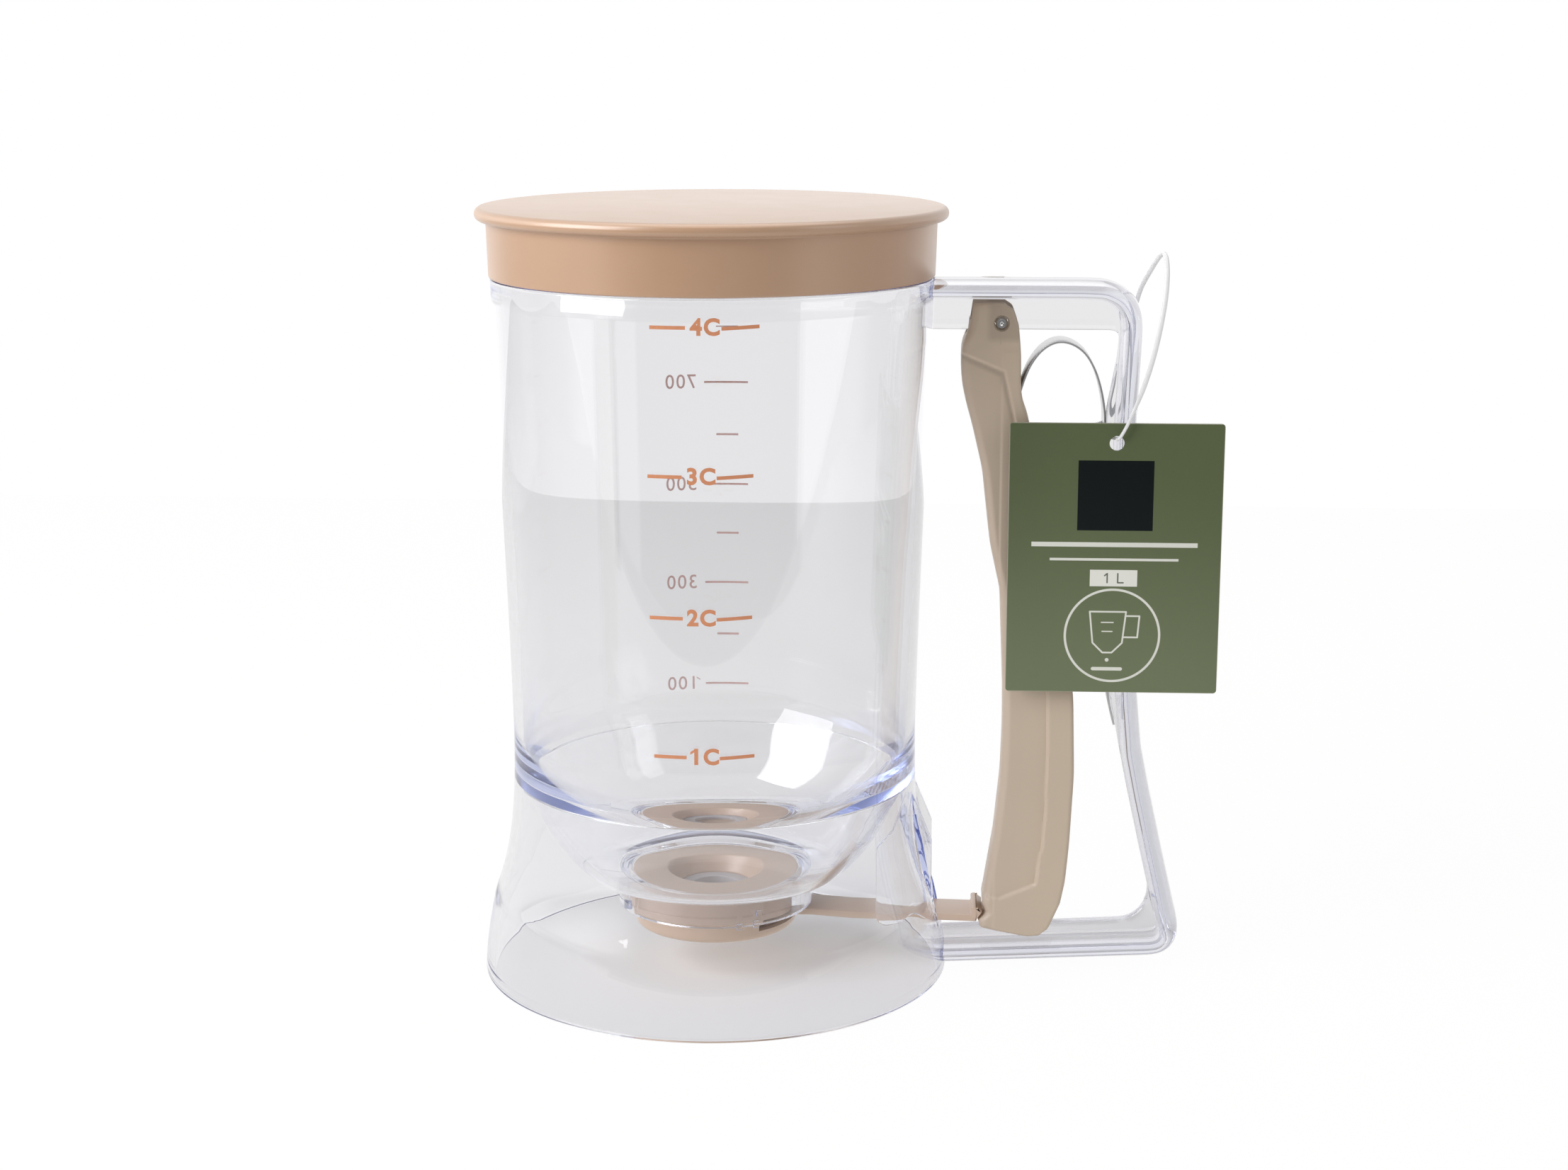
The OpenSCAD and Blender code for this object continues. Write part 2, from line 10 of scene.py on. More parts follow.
import bmesh
import bpy
import numpy as np
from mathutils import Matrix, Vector


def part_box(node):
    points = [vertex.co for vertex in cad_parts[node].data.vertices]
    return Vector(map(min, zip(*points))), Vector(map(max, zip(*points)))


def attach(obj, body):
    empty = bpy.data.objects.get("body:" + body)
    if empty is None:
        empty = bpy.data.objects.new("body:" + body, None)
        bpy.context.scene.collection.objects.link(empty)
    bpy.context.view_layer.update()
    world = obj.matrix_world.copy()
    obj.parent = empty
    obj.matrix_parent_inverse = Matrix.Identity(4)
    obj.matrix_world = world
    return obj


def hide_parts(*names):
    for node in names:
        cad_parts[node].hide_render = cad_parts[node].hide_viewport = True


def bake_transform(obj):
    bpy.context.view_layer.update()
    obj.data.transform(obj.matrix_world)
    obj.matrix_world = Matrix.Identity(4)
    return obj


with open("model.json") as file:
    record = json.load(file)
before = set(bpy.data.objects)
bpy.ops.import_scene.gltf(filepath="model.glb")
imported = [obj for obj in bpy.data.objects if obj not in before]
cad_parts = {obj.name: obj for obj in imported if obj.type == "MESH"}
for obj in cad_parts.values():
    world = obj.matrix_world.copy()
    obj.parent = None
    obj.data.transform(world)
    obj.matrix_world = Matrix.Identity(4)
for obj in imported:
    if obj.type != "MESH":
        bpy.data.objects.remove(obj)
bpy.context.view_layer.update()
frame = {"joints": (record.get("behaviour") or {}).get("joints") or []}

MM = 0.001

# ---------- sizes shared by several pieces ----------
WALL = 2.2
WAIST_R, WAIST_Z = 49.3, 62.0
TOP_R, SHOULDER_Z = 52.8, 171.2
NECK_R, NECK_WALL, NECK_TOP = 51.3, 1.7, 184.3
FOOT_R, FLARE_R, FOOT_H = 57.4, 54.6, 19.3
LEDGE_Z, LEDGE_T, LEDGE_W = 49.5, 2.0, 1.5
FLOOR_Z, FLOOR_R = 24.0, 30.0
COLLAR_R, COLLAR_BORE, COLLAR_Z = 24.0, 21.2, 16.0
HANDLE_HALF = 7.0
SEAM = 0.06

JOINTS = {joint["name"]: joint for joint in frame["joints"]}
PIVOT = np.array(JOINTS["lever_pivot"]["pos_m"])[[0, 2]] / MM
TAG_HOLE = np.array(JOINTS["tag_swing"]["pos_m"]) / MM
HOOK = PIVOT + (-1.4, -146.0)


# ---------- arithmetic on points ----------
def unit(vectors):
    """Each vector over its own length."""
    return vectors / np.maximum(np.linalg.norm(vectors, axis=-1, keepdims=True), 1e-12)


def smoothstep(low, high, value):
    """0 below low, 1 above high, and 3t^2 - 2t^3 between."""
    t = np.clip((value - low) / (high - low), 0, 1)
    return t * t * (3 - 2 * t)


def rounded(corners, radii, steps=5):
    """A closed outline whose corners are arcs: an arc of radius r touches both sides r / tan(h) from
    the corner, where h is half the corner's angle, and its centre is r / sin(h) along the bisector."""
    corners = np.asarray(corners, float)
    radii = np.broadcast_to(np.asarray(radii, float), len(corners))
    back = unit(np.roll(corners, 1, 0) - corners)
    ahead = unit(np.roll(corners, -1, 0) - corners)
    half = np.arccos(np.clip((back * ahead).sum(1), -1, 1)) / 2
    straight = half > math.pi / 2 - 0.02
    radii = np.where(straight, 0, radii)
    half = np.where(straight, math.pi / 4, half)
    centre = corners + unit(back + ahead) * (radii / np.sin(half))[:, None]
    reach = (radii / np.tan(half))[:, None]
    first = corners + back * reach - centre
    last = corners + ahead * reach - centre
    start = np.arctan2(first[:, 1], first[:, 0])
    sweep = (np.arctan2(last[:, 1], last[:, 0]) - start + math.pi) % (2 * math.pi) - math.pi
    angle = start[:, None] + sweep[:, None] * np.linspace(0, 1, steps)
    arcs = centre[:, None] + radii[:, None, None] * np.stack([np.cos(angle), np.sin(angle)], -1)
    arcs = np.where((radii > 0)[:, None, None], arcs, corners[:, None]).reshape(-1, 2)
    apart = np.linalg.norm(arcs - np.roll(arcs, 1, 0), axis=1) > 1e-6
    return arcs[apart]


def outline(*stretches):
    """Joins (points, corner radius) stretches into one closed outline with rounded corners."""
    points = np.concatenate([np.atleast_2d(p) for p, _ in stretches])
    radii = np.concatenate([np.full(len(np.atleast_2d(p)), r) for p, r in stretches])
    return rounded(points, radii)


def eased(points, spacing, softness, along=None):
    """A polyline walked in even steps, each column averaged with a bell-shaped weight of the given
    width, so that corners turn round.  The ends are continued by point reflection and stay put."""
    points = np.asarray(points, float)
    line = points if along is None else points[:, :along]
    reach = np.concatenate([[0], np.cumsum(np.linalg.norm(np.diff(line, axis=0), axis=1))])
    even = np.linspace(0, reach[-1], int(reach[-1] / spacing) + 1)
    walked = np.stack([np.interp(even, reach, column) for column in points.T], 1)
    wide = min(int(4 * softness / spacing), len(even) - 1)
    weight = np.exp(-0.5 * (np.arange(-wide, wide + 1) * spacing / softness) ** 2)
    head = 2 * walked[0] - walked[wide:0:-1]
    tail = 2 * walked[-1] - walked[-2:-wide - 2:-1]
    longer = np.concatenate([head, walked, tail])
    return np.stack([np.convolve(column, weight / weight.sum(), "valid") for column in longer.T], 1)


def sideways(path):
    """Unit normals to the left of a flat path, from its central differences."""
    run = unit(np.gradient(path, axis=0))
    return np.stack([-run[:, 1], run[:, 0]], 1)


def inward(loop):
    """Unit normals into a closed outline, whichever way round it runs."""
    run = unit(np.roll(loop, -1, 0) - np.roll(loop, 1, 0))
    area = (loop[:, 0] * np.roll(loop[:, 1], -1) - np.roll(loop[:, 0], -1) * loop[:, 1]).sum()
    return np.stack([-run[:, 1], run[:, 0]], 1) * np.sign(area)


def shell_radius(z):
    """Outer radius of the tank at height z: above the waist it opens as the 1.15th power of the
    height, below it flares as the cube of the depth, and the foot bulges as the 1.6th power."""
    up = np.clip((z - WAIST_Z) / (SHOULDER_Z - WAIST_Z), 0, 1)
    down = np.clip((WAIST_Z - z) / (WAIST_Z - FOOT_H), 0, 1)
    low = np.clip(z / FOOT_H, 0, 1)
    tank = WAIST_R + (TOP_R - WAIST_R) * up ** 1.15
    flare = WAIST_R + (FLARE_R - WAIST_R) * down ** 3
    foot = FOOT_R - (FOOT_R - FLARE_R) * low ** 1.6
    return np.where(z >= WAIST_Z, tank, np.where(z >= FOOT_H, flare, foot))


# ---------- meshes ----------
def grid_faces(rows, columns, wrap_rows, wrap_columns):
    """Four-sided faces between neighbours of a grid whose points are numbered row by row."""
    i = np.arange(rows if wrap_rows else rows - 1)
    j = np.arange(columns if wrap_columns else columns - 1)
    i, j = np.meshgrid(i, j, indexing="ij")
    below, right = (i + 1) % rows, (j + 1) % columns
    corners = [i * columns + j, below * columns + j, below * columns + right, i * columns + right]
    return np.stack(corners, -1).reshape(-1, 4)


def solid(name, grid, wrap_rows=False, wrap_columns=True, caps=False, sharp=35):
    """A mesh object from a grid of points; caps close its first and last rows with one face each."""
    rows, columns = grid.shape[:2]
    faces = grid_faces(rows, columns, wrap_rows, wrap_columns).tolist()
    if caps:
        faces.append(list(range(columns)))
        faces.append(list(range((rows - 1) * columns, rows * columns)))
    mesh = bpy.data.meshes.new(name)
    mesh.from_pydata((grid.reshape(-1, 3) * MM).tolist(), [], faces)
    piece = bpy.data.objects.new(name, mesh)
    bpy.context.scene.collection.objects.link(piece)
    tidy(piece, sharp)
    return piece


def tidy(piece, sharp=35):
    """Merges doubled points, turns faces outwards and keeps edges over the sharp angle crisp."""
    work = bmesh.new()
    work.from_mesh(piece.data)
    bmesh.ops.remove_doubles(work, verts=work.verts, dist=2e-6)
    bmesh.ops.dissolve_degenerate(work, edges=work.edges, dist=1e-7)
    bmesh.ops.recalc_face_normals(work, faces=work.faces)
    work.to_mesh(piece.data)
    work.free()
    piece.data.shade_smooth()
    piece.data.set_sharp_from_angle(angle=math.radians(sharp))


def combine(piece, other, operation="DIFFERENCE", sharp=35):
    """Cuts the other solid from the piece, or joins it on, and removes it."""
    change = piece.modifiers.new("combine", "BOOLEAN")
    change.operation = operation
    change.solver = "EXACT"
    change.object = other
    graph = bpy.context.evaluated_depsgraph_get()
    mesh = bpy.data.meshes.new_from_object(piece.evaluated_get(graph))
    piece.modifiers.clear()
    piece.data = mesh
    bpy.data.objects.remove(other)
    tidy(piece, sharp)
    return piece


def turned(name, profile, turns=168, span=(0, 360), sharp=35):
    """A closed (r, z) outline turned about Z: each point becomes (r cos a, r sin a, z)."""
    whole = span[1] - span[0] >= 360
    a = np.radians(np.linspace(*span, turns, endpoint=not whole))[:, None]
    r, z = np.asarray(profile, float).T[:, None]
    grid = np.stack([r * np.cos(a), r * np.sin(a), z + 0 * a], -1)
    return solid(name, grid, wrap_rows=whole, caps=not whole, sharp=sharp)


def crosswise(piece, x, z):
    """Lays a turned piece along Y, with its axis through (x, z)."""
    points = np.empty(len(piece.data.vertices) * 3)
    piece.data.vertices.foreach_get("co", points)
    points = points.reshape(-1, 3)[:, [0, 2, 1]] * (1, -1, 1) + np.array([x, 0, z]) * MM
    piece.data.vertices.foreach_set("co", points.ravel())
    tidy(piece)
    return piece


def slab(name, loop, half, edge=0.3, middle=0.0, sharp=35):
    """An upright (x, z) outline spread across Y from middle - half to middle + half.  Its rims are
    quarter rounds: the outline shrinks by edge (1 - cos t) where y is edge (1 - sin t) from the end."""
    t = np.linspace(0, math.pi / 2, 4)
    y = half - edge + edge * np.sin(t)
    shrink = edge * (1 - np.cos(t))
    y, shrink = np.concatenate([-y[::-1], y]), np.concatenate([shrink[::-1], shrink])
    flat = loop[None] + shrink[:, None, None] * inward(loop)[None]
    grid = np.stack([flat[..., 0], np.broadcast_to(y[:, None] + middle, flat.shape[:2]), flat[..., 1]], -1)
    return solid(name, grid, caps=True, sharp=sharp)


def oblong(x0, x1, z0, z1):
    """A rectangle's corners."""
    return [(x0, z0), (x1, z0), (x1, z1), (x0, z1)]


def block(name, low, high, edge=0.25):
    """A box with rounded rims between two corners."""
    (x0, y0, z0), (x1, y1, z1) = low, high
    loop = rounded(oblong(x0, x1, z0, z1), edge)
    return slab(name, loop, (y1 - y0) / 2, edge, (y0 + y1) / 2)


# ---------- materials ----------
class Field:
    """A number that varies over a surface.  Arithmetic on fields adds Math nodes."""

    def __init__(self, finish, socket):
        self.finish = finish
        self.socket = socket

    def math(self, operation, *values):
        return Field(self.finish, self.finish.node("ShaderNodeMath", {"operation": operation}, *values))

    def __add__(self, other):
        return self.math("ADD", self, other)

    def __sub__(self, other):
        return self.math("SUBTRACT", self, other)

    def __rsub__(self, other):
        return self.math("SUBTRACT", other, self)

    def __mul__(self, other):
        return self.math("MULTIPLY", self, other)

    def __truediv__(self, other):
        return self.math("DIVIDE", self, other)

    def __abs__(self):
        return self.math("ABSOLUTE", self)

    __radd__ = __add__
    __rmul__ = __mul__

    def root(self):
        return self.math("SQRT", self)

    def least(self, other):
        return self.math("MINIMUM", self, other)

    def most(self, other):
        return self.math("MAXIMUM", self, other)

    def rise(self, low, high):
        """0 where the field is below low, 1 above high, eased between."""
        settings = {"interpolation_type": "SMOOTHSTEP"}
        return Field(self.finish, self.finish.node("ShaderNodeMapRange", settings, self, low, high, 0.0, 1.0))

    def inside(self, size, soft):
        """1 where the field is below size, 0 above it, with an edge that is soft wide."""
        return 1 - self.rise(size - soft / 2, size + soft / 2)


class Finish:
    """A material with one Principled shader; node() adds any other node to it."""

    def __init__(self, name, colour, roughness, **constants):
        self.material = bpy.data.materials.new(name)
        self.material.use_nodes = True
        self.tree = self.material.node_tree
        self.shader = self.tree.nodes["Principled BSDF"]
        self.output = self.tree.nodes["Material Output"]
        self.shader.inputs["Base Color"].default_value = (*colour, 1)
        self.shader.inputs["Roughness"].default_value = roughness
        for socket, value in constants.items():
            self.shader.inputs[socket.replace("_", " ")].default_value = value

    def put(self, socket, value):
        """Links a field or socket into the socket, or sets a number, vector or colour on it."""
        if isinstance(value, Field):
            value = value.socket
        if isinstance(value, bpy.types.NodeSocket):
            self.tree.links.new(value, socket)
        elif isinstance(value, tuple) and socket.type == "RGBA":
            socket.default_value = (*value[:3], 1)
        else:
            socket.default_value = value

    def node(self, kind, settings=None, *values, out=0, **named):
        """Adds a node: settings come first, then inputs by order or by name.  Returns one output."""
        node = self.tree.nodes.new(kind)
        for name, value in (settings or {}).items():
            setattr(node, name, value)
        for place, value in enumerate(values):
            self.put(node.inputs[place], value)
        for name, value in named.items():
            self.put(node.inputs[name.replace("_", " ")], value)
        return node.outputs[out]

    def where(self):
        """Object coordinates in metres."""
        return self.node("ShaderNodeTexCoord", out="Object")

    def place(self):
        """Object coordinates as three fields in millimetres."""
        parts = self.node("ShaderNodeSeparateXYZ", None, self.where()).node.outputs
        return [Field(self, part) / MM for part in parts]

    def noise(self, size, detail=2.0, stretch=(1, 1, 1)):
        """Noise from 0 to 1 whose patches are about size mm wide, drawn out along stretched axes."""
        scale = tuple(1 / s for s in stretch)
        spread = self.node("ShaderNodeMapping", None, Vector=self.where(), Scale=scale)
        return Field(self, self.node("ShaderNodeTexNoise", None, Vector=spread, Scale=1 / (size * MM),
                                     Detail=detail))

    def blend(self, factor, low, high):
        """Colour low where factor is 0 and high where it is 1."""
        node = self.node("ShaderNodeMix", {"data_type": "RGBA"}, out=2).node
        self.put(node.inputs[0], factor)
        self.put(node.inputs[6], low)
        self.put(node.inputs[7], high)
        return node.outputs[2]

    def colour(self, value):
        self.put(self.shader.inputs["Base Color"], value)

    def rough(self, value):
        self.put(self.shader.inputs["Roughness"], value)

    def relief(self, height, depth):
        """Bumps the surface by depth mm times the height field."""
        bump = self.node("ShaderNodeBump", None, Height=height, Distance=depth * MM, Strength=1.0)
        self.put(self.shader.inputs["Normal"], bump)


def together(*masks):
    """The union of masks, which is the largest of them at each place."""
    union = masks[0]
    for mask in masks[1:]:
        union = union.most(mask)
    return union


def to_line(x, y, start, end):
    """Distance from (x, y) to the line between two points: the share of the way along it, kept from
    0 to 1, gives the nearest place on it."""
    run_x, run_y = end[0] - start[0], end[1] - start[1]
    dx, dy = x - start[0], y - start[1]
    share = ((dx * run_x + dy * run_y) / (run_x ** 2 + run_y ** 2)).most(0.0).least(1.0)
    gap_x, gap_y = dx - share * run_x, dy - share * run_y
    return (gap_x * gap_x + gap_y * gap_y).root()


def srgb(red, green, blue):
    """Linear colour from 0-255 screen values."""
    c = np.array([red, green, blue]) / 255
    return tuple(np.where(c <= 0.04045, c / 12.92, ((c + 0.055) / 1.055) ** 2.4).tolist())


def shade(colour, factor):
    """The colour made lighter or darker by a factor."""
    return tuple(part * factor for part in colour)


def clear_styrene(name, tint=(0.36, 0.46, 0.82), density=11.0, wave=0.020):
    """Clear moulded plastic: bends light as styrene does, is faintly violet-blue through a long path,
    lets lamps through without a caustic, and has the slow waves of a moulded face."""
    finish = Finish(name, (0.995, 0.996, 1.0), 0.012, IOR=1.56, Transmission_Weight=1.0)
    slow = finish.noise(26, 1.0, (1, 1, 2.4))
    finish.relief(slow, wave)
    path = finish.node("ShaderNodeLightPath").node.outputs
    lamps = Field(finish, path["Is Shadow Ray"]).most(Field(finish, path["Is Diffuse Ray"]))
    open_way = finish.node("ShaderNodeBsdfTransparent", None, (0.955, 0.958, 0.97))
    mixed = finish.node("ShaderNodeMixShader", None, lamps, finish.shader.outputs[0], open_way)
    finish.put(finish.output.inputs["Surface"], mixed)
    inside = finish.node("ShaderNodeVolumeAbsorption", None, Color=tint, Density=density)
    finish.put(finish.output.inputs["Volume"], inside)
    return finish.material


def moulded(name, colour, roughness, grain=0.006, patch=0.05, **constants):
    """Opaque moulded plastic: slow changes of shade, a fine spark-eroded grain, slightly uneven gloss."""
    finish = Finish(name, colour, roughness, **constants)
    slow = finish.noise(38, 2.0)
    finish.colour(finish.blend(slow, shade(colour, 1 - patch), shade(colour, 1 + patch)))
    finish.rough(finish.noise(9, 3.0) * 0.10 + (roughness - 0.05))
    finish.relief(finish.noise(0.45, 2.0), grain)
    return finish


def lid_beige():
    """The lid's satin beige."""
    return moulded("lid_beige", srgb(187, 149, 118), 0.33, IOR=1.6, Specular_IOR_Level=0.85,
                   Sheen_Weight=0.22, Sheen_Roughness=0.4).material


def valve_beige():
    """The warm beige of the slide and the valve."""
    return moulded("valve_beige", srgb(206, 181, 160), 0.34).material


def lever_beige():
    """The lever's greyer beige, with painted shade in a soft square round the pin where the boss lies
    behind the cheek, and the mould's parting line through the pin.  Along the panel's step a painted
    highlight lies on its crest and a painted shadow in the corner under it."""
    colour = srgb(199, 181, 160)
    finish = Finish("lever_beige", colour, 0.42)
    x, _, z = finish.place()
    slow = finish.noise(34, 2.0)
    base = finish.blend(slow, shade(colour, 0.95), shade(colour, 1.04))
    # Painted shade: a darker soft square round the pin, where the boss lies behind the cheek
    boss_painted_shade = abs(x - (PIVOT[0] + 1.2)).inside(4.2, 2.0) * abs(z - (PIVOT[1] + 0.6)).inside(4.6, 2.0)
    base = finish.blend(boss_painted_shade * 0.55, base, shade(colour, 0.62))
    line = abs(x - (PIVOT[0] - 0.2)).inside(0.12, 0.2) * (PIVOT[1] - 5 - z).inside(0, 0.4)
    base = finish.blend(line * 0.35, base, shade(colour, 0.7))

    def crease(start, end, width):
        """Nearness to the line between two points: 1 on it, 0 beyond its width."""
        return to_line(x, z, start, end).inside(width / 2, width)

    nub, corner, side, low = PANEL_LINE[:4].tolist()
    under_nub = (nub[0], nub[1] - 0.9)
    # Painted shadow: darker in the corner under the panel's step, on its sunk side
    sunk = together(crease(under_nub, (corner[0] - 0.5, corner[1] - 0.9), 1.3),
                    crease((corner[0] - 0.6, corner[1] - 0.9), (side[0] - 0.6, side[1]), 1.2))
    # Painted highlight: lighter along the step's crest
    crest_painted_highlight = together(crease(nub, corner, 0.7), crease(corner, side, 0.6), crease(side, low, 0.4) * 0.5)
    base = finish.blend(sunk * 0.6, base, shade(colour, 0.66))
    base = finish.blend(crest_painted_highlight * 0.6, base, shade(colour, 1.22))
    finish.colour(base)
    finish.rough(finish.noise(9, 3.0) * 0.10 + 0.37)
    finish.relief(finish.noise(0.45, 2.0), 0.006)
    return finish.material


def spring_steel():
    """Rolled strip steel: bright, with fine lines along the strip and a few dull patches."""
    finish = Finish("spring_steel", (0.55, 0.55, 0.56), 0.3, Metallic=0.8)
    lines = finish.noise(0.5, 2.0, (40, 1, 40))
    finish.rough(finish.noise(6, 3.0) * 0.12 + lines * 0.10 + 0.24)
    finish.colour(finish.blend(finish.noise(12, 2.0), (0.50, 0.50, 0.51), (0.62, 0.62, 0.63)))
    finish.relief(lines, 0.002)
    return finish.material


def pin_steel():
    """The pin's head: bright steel with turning rings about its axis."""
    finish = Finish("pin_steel", (0.62, 0.62, 0.63), 0.2, Metallic=1.0)
    x, _, z = finish.place()
    across, up = x - PIVOT[0], z - PIVOT[1]
    away = (across * across + up * up).root()
    turns = away * 14
    rings = turns.math("SINE", turns)
    finish.rough(finish.noise(0.6, 3.0) * 0.25 + 0.10)
    finish.relief(rings + finish.noise(0.35, 3.0) * 2, 0.012)
    return finish.material


def seal_silicone():
    """Milky grey silicone."""
    return moulded("seal_silicone", srgb(196, 192, 192), 0.5, grain=0.004, patch=0.03).material


def nylon_filament():
    """Milky nylon: soft sheen, with light passing through it."""
    return moulded("nylon_filament", srgb(250, 250, 251), 0.32, grain=0.001, patch=0.01,
                   Transmission_Weight=0.08).material


def scale_ink():
    """The orange-brown printing ink of the cup marks, a little uneven in cover."""
    colour = srgb(212, 142, 103)
    finish = Finish("scale_ink", colour, 0.45)
    finish.colour(finish.blend(finish.noise(1.2, 3.0), shade(colour, 0.90), shade(colour, 1.08)))
    finish.relief(finish.noise(0.5, 2.0), 0.004)
    return finish.material


def far_ink():
    """The thinner ink of the millilitre marks."""
    colour = srgb(214, 170, 157)
    finish = Finish("far_ink", colour, 0.5)
    finish.colour(finish.blend(finish.noise(1.0, 3.0), shade(colour, 0.88), shade(colour, 1.12)))
    return finish.material


# The card's print: pairs of ends, in millimetres across from the hole and down from it
JUG = ((-5.4, 40.6, 3.2, 40.6), (-5.4, 40.6, -4.6, 48.2), (3.2, 40.6, 2.4, 48.2), (-4.6, 48.2, -2.2, 50.6),
       (2.4, 48.2, 0.0, 50.6), (-2.2, 50.6, 0.0, 50.6))
JUG_GRIP = ((3.2, 41.6, 6.4, 41.6), (6.4, 41.6, 6.0, 46.8), (6.0, 46.8, 2.6, 46.8))
JUG_LEVELS = ((-2.6, 43.2, 0.2, 43.2), (-2.4, 45.4, 0.0, 45.4))
PANCAKE = (-4.4, 54.6, 2.2, 54.6)
DIGIT_ONE = ((-1.5, 31.3, -1.5, 33.5), (-2.1, 31.8, -1.5, 31.3))
LETTER_L = ((1.0, 31.3, 1.0, 33.5), (1.0, 33.5, 2.3, 33.5))


def tag_card():
    """The tag: green printed card with a dark square, two rules, a capacity plate and a picture of a
    jug that pours, all worked out as distances from shapes on the card's face; its cut edges are
    cream.  Heights and widths are in millimetres on the card."""
    green, pale, ink = srgb(90, 100, 69), srgb(230, 230, 221), srgb(4, 14, 16)
    finish = Finish("tag_card", green, 0.45, IOR=1.3)
    x, y, z = finish.place()
    across = x - TAG_HOLE[0]
    down = TAG_HOLE[2] - z
    soft = 0.12

    def box(middle_x, middle_y, half_x, half_y):
        return abs(across - middle_x).inside(half_x, soft) * abs(down - middle_y).inside(half_y, soft)

    def away(middle_x, middle_y):
        """Distance from a point on the card."""
        dx, dy = across - middle_x, down - middle_y
        return (dx * dx + dy * dy).root()

    def strokes(half, *lines):
        """Lines of half the given width, each from one point to another."""
        return together(*(to_line(across, down, line[:2], line[2:]).inside(half, soft) for line in lines))

    grain = finish.noise(0.35, 3.0)
    slow = finish.noise(30, 1.0)
    left = (across + 25).rise(0, 16)
    low = down.rise(4, 66)
    base = finish.blend(left, shade(green, 0.94), green)
    base = finish.blend(low, base, srgb(114, 124, 95))
    base = finish.blend(grain * 0.16 + slow * 0.08, base, shade(green, 1.35))
    base = finish.blend(box(0.0, 12.5, 8.9, 8.4), base, ink)
    rules = together(box(0.0, 24.3, 19.6, 0.55), box(0.0, 27.9, 15.2, 0.30))
    ring = abs(away(0.0, 46.4) - 11.2).inside(0.28, soft)
    drop = away(-1.1, 52.4).inside(0.45, soft)
    picture = together(ring, strokes(0.2, *JUG, *JUG_GRIP), strokes(0.14, *JUG_LEVELS), drop,
                       strokes(0.42, PANCAKE))
    base = finish.blend(together(rules, picture) * 0.92, base, pale)
    base = finish.blend(box(0.0, 32.4, 5.6, 2.0), base, pale)
    base = finish.blend(strokes(0.17, *DIGIT_ONE, *LETTER_L) * 0.9, base, srgb(70, 78, 60))
    back = (y - TAG_HOLE[1]).rise(0.18, 0.22)
    base = finish.blend(back * 0.9, base, shade(green, 1.05))
    half_w, half_h = TAG_W / 2, TAG_H / 2
    cut_x = abs(across).rise(half_w - 0.18, half_w - 0.08)
    cut_z = abs(down - (half_h - TAG_TOP)).rise(half_h - 0.18, half_h - 0.08)
    base = finish.blend(together(cut_x, cut_z) * 0.8, base, srgb(176, 174, 157))
    finish.colour(base)
    finish.rough(grain * 0.12 + 0.36)
    finish.relief(grain, 0.006)
    return finish.material


# ---------- the clear body: tank, foot and bowl ----------
RIB_X, RIB_Z, RIB_T, GUIDE_W = 39.8, 12.0, 1.8, 14.4
PANEL_TOP, PANEL_LOW, PANEL_DROP = 40.0, 17.6, 1.4
BOWL_WALL, FLOOR_EDGE, FLOOR_LIP = 2.1, 0.3, 0.15
SPREAD_Z, FILLET_TOP, FILLET_POWER = 40.0, 61.0, 2.2
GROOVE_R, GROOVE_Z, GROOVE_H = 22.9, 18.4, 2.4
LUG_ANGLES, LUG_SPAN, TWIST = (90, 180), 12, 30
# The mould's nubs on the collar: angle, lower and upper height
NUBS = ((-72, 15.6, 17.2), (-62, 15.7, 17.6), (-60, 18.6, 20.0))


def bowl_curve(count=56):
    """The bowl's outer side: a quarter of a superellipse, with the radius as sin^1.6 and the height
    as cos^1.25, spread near its top by a square of the height so that it meets the tank's wall."""
    t = np.linspace(0, math.pi / 2, count)
    meet = shell_radius(np.array(LEDGE_Z)) - WALL
    narrow = meet - LEDGE_W - 0.2
    z = LEDGE_Z - (LEDGE_Z - FLOOR_Z) * np.cos(t) ** 1.25
    r = FLOOR_R + (narrow - FLOOR_R) * np.sin(t) ** 1.6
    r = r + (meet - narrow) * np.clip((z - SPREAD_Z) / (LEDGE_Z - SPREAD_Z), 0, 1) ** 2
    return eased(np.stack([r, z], 1), 0.7, 0.8)


